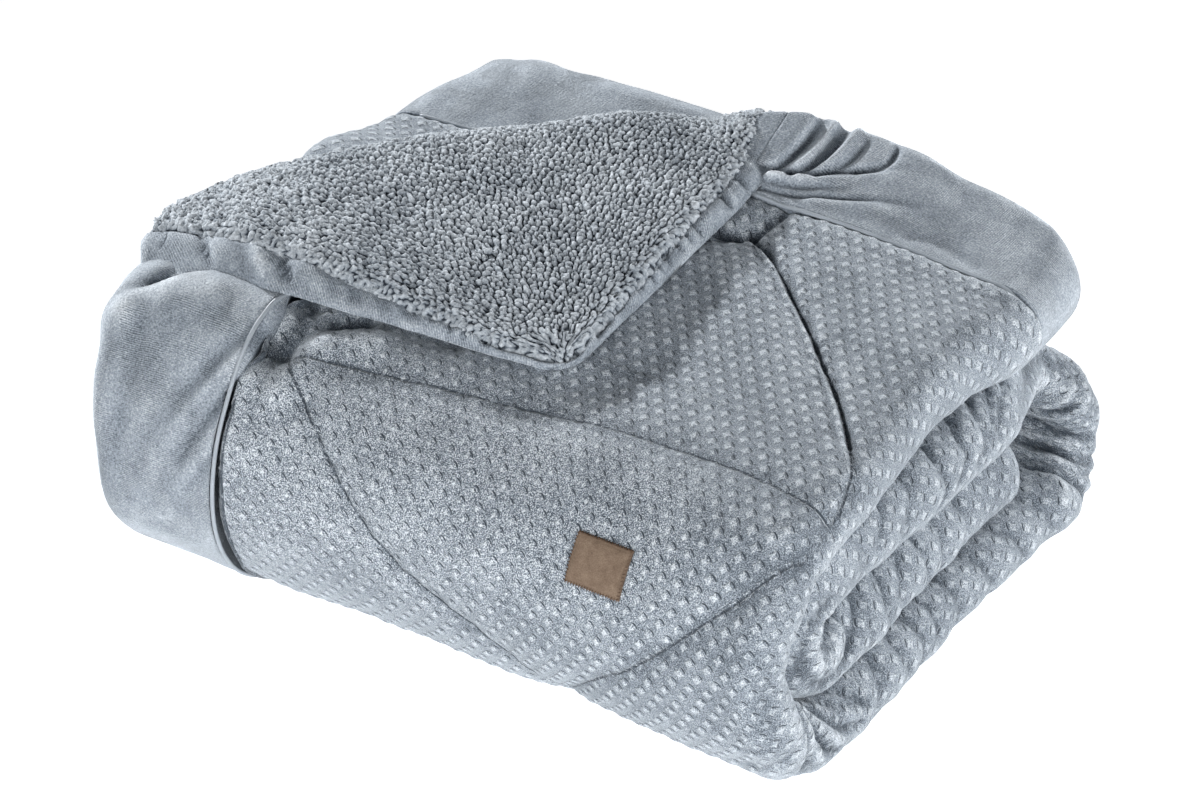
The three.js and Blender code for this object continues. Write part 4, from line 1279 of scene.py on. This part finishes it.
def build_patch():
    across = np.linspace(-PATCH["width"] / 2, PATCH["width"] / 2, 59)
    down = np.linspace(-PATCH["height"] / 2, PATCH["height"] / 2, 43)
    d, a = np.meshgrid(down, across, indexing="ij")
    edge = np.minimum(PATCH["width"] / 2 - np.abs(a), PATCH["height"] / 2 - np.abs(d))
    fray = 0.35 * noise(a / 2.0, d / 2.0, 91) * (edge < 1.5)
    crown = PATCH["thick"] * quarter_round(edge, 2.2) + bumps(a, d, 14, 0.25, 93)
    sunk = -0.5 * bump(edge, 2.6, 0.9)
    top = patch_points(a + fray, d + fray, PATCH["lift"] + 0.4 + crown + sunk)
    bottom = patch_points(a, d, PATCH["lift"] - 1.6)
    piece = plate_solid("patch_plate", top, bottom, np.stack([a, d], -1), 1, {"edge": np.exp(-edge / 2.0)})
    piece.data.materials.append(LEATHER)
    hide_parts("patch")
    return [piece]


def build_patch_stitches():
    """Short stitches over the patch's edge, as one piece."""
    w, h = PATCH["width"] / 2, PATCH["height"] / 2
    out, into, slant, sides = STITCH["out"], STITCH["into"], STITCH["slant"], STITCH["sides"]
    lines = []
    for t in np.linspace(-w + 1.6, w - 1.6, 20):
        lines += [((t, side * (h + out)), (t + slant, side * (h - into))) for side in (-1, 1)]
    for t in np.linspace(-h + 1.8, h - 1.8, 14):
        lines += [((side * (w + out), t), (side * (w - into), t + slant)) for side in (-1, 1)]
    t = np.linspace(0, 1, 6)
    over = np.sin(np.pi * np.clip(t * 1.1, 0, 1)) * STITCH["high"]
    lift = PATCH["lift"] + PATCH["thick"] - 0.5 + over
    sizes = STITCH["radius"] * np.array([0.5, 1, 1, 1, 1, 0.5])
    tube = grid_quads(len(t), sides, True)
    cap = np.array([[0, 1, 2, 3], [3, 4, 5, 0], [33, 32, 31, 30], [30, 35, 34, 33]])
    verts, quads, uvs = [], [], []
    for (a0, d0), (a1, d1) in lines:
        line = patch_points(a0 + (a1 - a0) * t, d0 + (d1 - d0) * t, lift)
        points, angle = tube_points(line, sizes, sides, [0.0, -0.87, 0.49])
        points = points.reshape(-1, 3)
        block = np.concatenate([tube, cap])
        if volume_sign(points - points.mean(0), [tube]) < 0:
            block = block[:, ::-1]
        quads.append(block + len(verts) * len(points))
        verts.append(points)
        uvs.append(np.stack(np.broadcast_arrays(t[:, None] * 3.5, angle[None, :] * 0.4), -1).reshape(-1, 2))
    verts, quads, uvs = np.concatenate(verts), np.concatenate(quads), np.concatenate(uvs)
    piece = mesh_object("patch_stitches", verts, [quads], uvs[quads.ravel()], {})
    piece.data.materials.append(THREAD)
    return [piece]


# Camera, light and floor. Azimuths and elevations are in degrees, distances and lamp sizes in metres.
AZIMUTH, ELEVATION, DISTANCE, LENS = 29.5, 36.0, 4.5, 159.5
TARGET = Vector((0.0, -0.0075, 0.145)) + Vector(SHIFT * MM)
LAMP_TARGET = Vector((0, 0, 0.15))
FLOOR_HALF, FLOOR_DROP, FLOOR_GLOW = 30.0, 0.0004, 0.68


def face_target(obj, target, azimuth, elevation, distance):
    """Puts a camera or lamp in a direction from its target, and turns it to the target."""
    a, e = math.radians(azimuth), math.radians(elevation)
    back = Vector((math.sin(a) * math.cos(e), -math.cos(a) * math.cos(e), math.sin(e)))
    obj.location = target + back * distance
    obj.rotation_euler = back.to_track_quat("Z", "Y").to_euler()
    bpy.context.scene.collection.objects.link(obj)


def build_camera():
    data = bpy.data.cameras.new("camera")
    data.lens = LENS
    camera = bpy.data.objects.new("camera", data)
    face_target(camera, TARGET, AZIMUTH, ELEVATION, DISTANCE)
    bpy.context.scene.camera = camera


def area_light(name, azimuth, elevation, distance, size, power):
    data = bpy.data.lights.new(name, "AREA")
    data.size, data.energy = size, power
    lamp = bpy.data.objects.new(name, data)
    face_target(lamp, LAMP_TARGET, azimuth, elevation, distance)
    return lamp


def build_stage():
    """A pale floor that glows a little, and studio lamps, of which the key leaves the floor unlit."""
    scene = bpy.context.scene
    scene.view_settings.view_transform = "Standard"
    world = bpy.data.worlds.new("studio")
    scene.world = world
    world.use_nodes = True
    sky = world.node_tree.nodes["Background"]
    sky.inputs["Color"].default_value = (0.98, 0.99, 1.0, 1)
    sky.inputs["Strength"].default_value = 0.09
    key = area_light("key", -118, 20, 3.2, 0.2, 178)
    area_light("left", -62, 14, 3.2, 0.5, 8)
    area_light("front", -4, 20, 3.4, 1.5, 72)
    area_light("right", 68, 11, 3.4, 1.2, 76)
    area_light("back", 140, 11, 3.2, 1.1, 66)
    mesh = bpy.data.meshes.new("floor")
    corners = [(FLOOR_HALF * x, FLOOR_HALF * y, 0) for x, y in ((-1, -1), (1, -1), (1, 1), (-1, 1))]
    mesh.from_pydata(corners, [], [(0, 1, 2, 3)])
    floor = bpy.data.objects.new("floor", mesh)
    floor.location.z = -FLOOR_DROP
    scene.collection.objects.link(floor)
    material = bpy.data.materials.new("floor")
    material.use_nodes = True
    shader = material.node_tree.nodes["Principled BSDF"]
    shader.inputs["Base Color"].default_value = (0.9, 0.9, 0.9, 1)
    shader.inputs["Roughness"].default_value = 0.9
    shader.inputs["Emission Color"].default_value = (1, 1, 1, 1)
    shader.inputs["Emission Strength"].default_value = FLOOR_GLOW
    mesh.materials.append(material)
    unlit = bpy.data.collections.new("not_lit_by_key")
    unlit.objects.link(floor)
    unlit.collection_objects[0].light_linking.link_state = "EXCLUDE"
    key.light_linking.receiver_collection = unlit


build_camera()
build_stage()
padded_pieces = build_centre() + build_left_border() + build_back_borders()
padded_pieces += build_corner_body() + build_sherpa()
trim_pieces = build_piping() + build_patch() + build_patch_stitches()
for piece in padded_pieces + trim_pieces:
    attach(piece, "root")
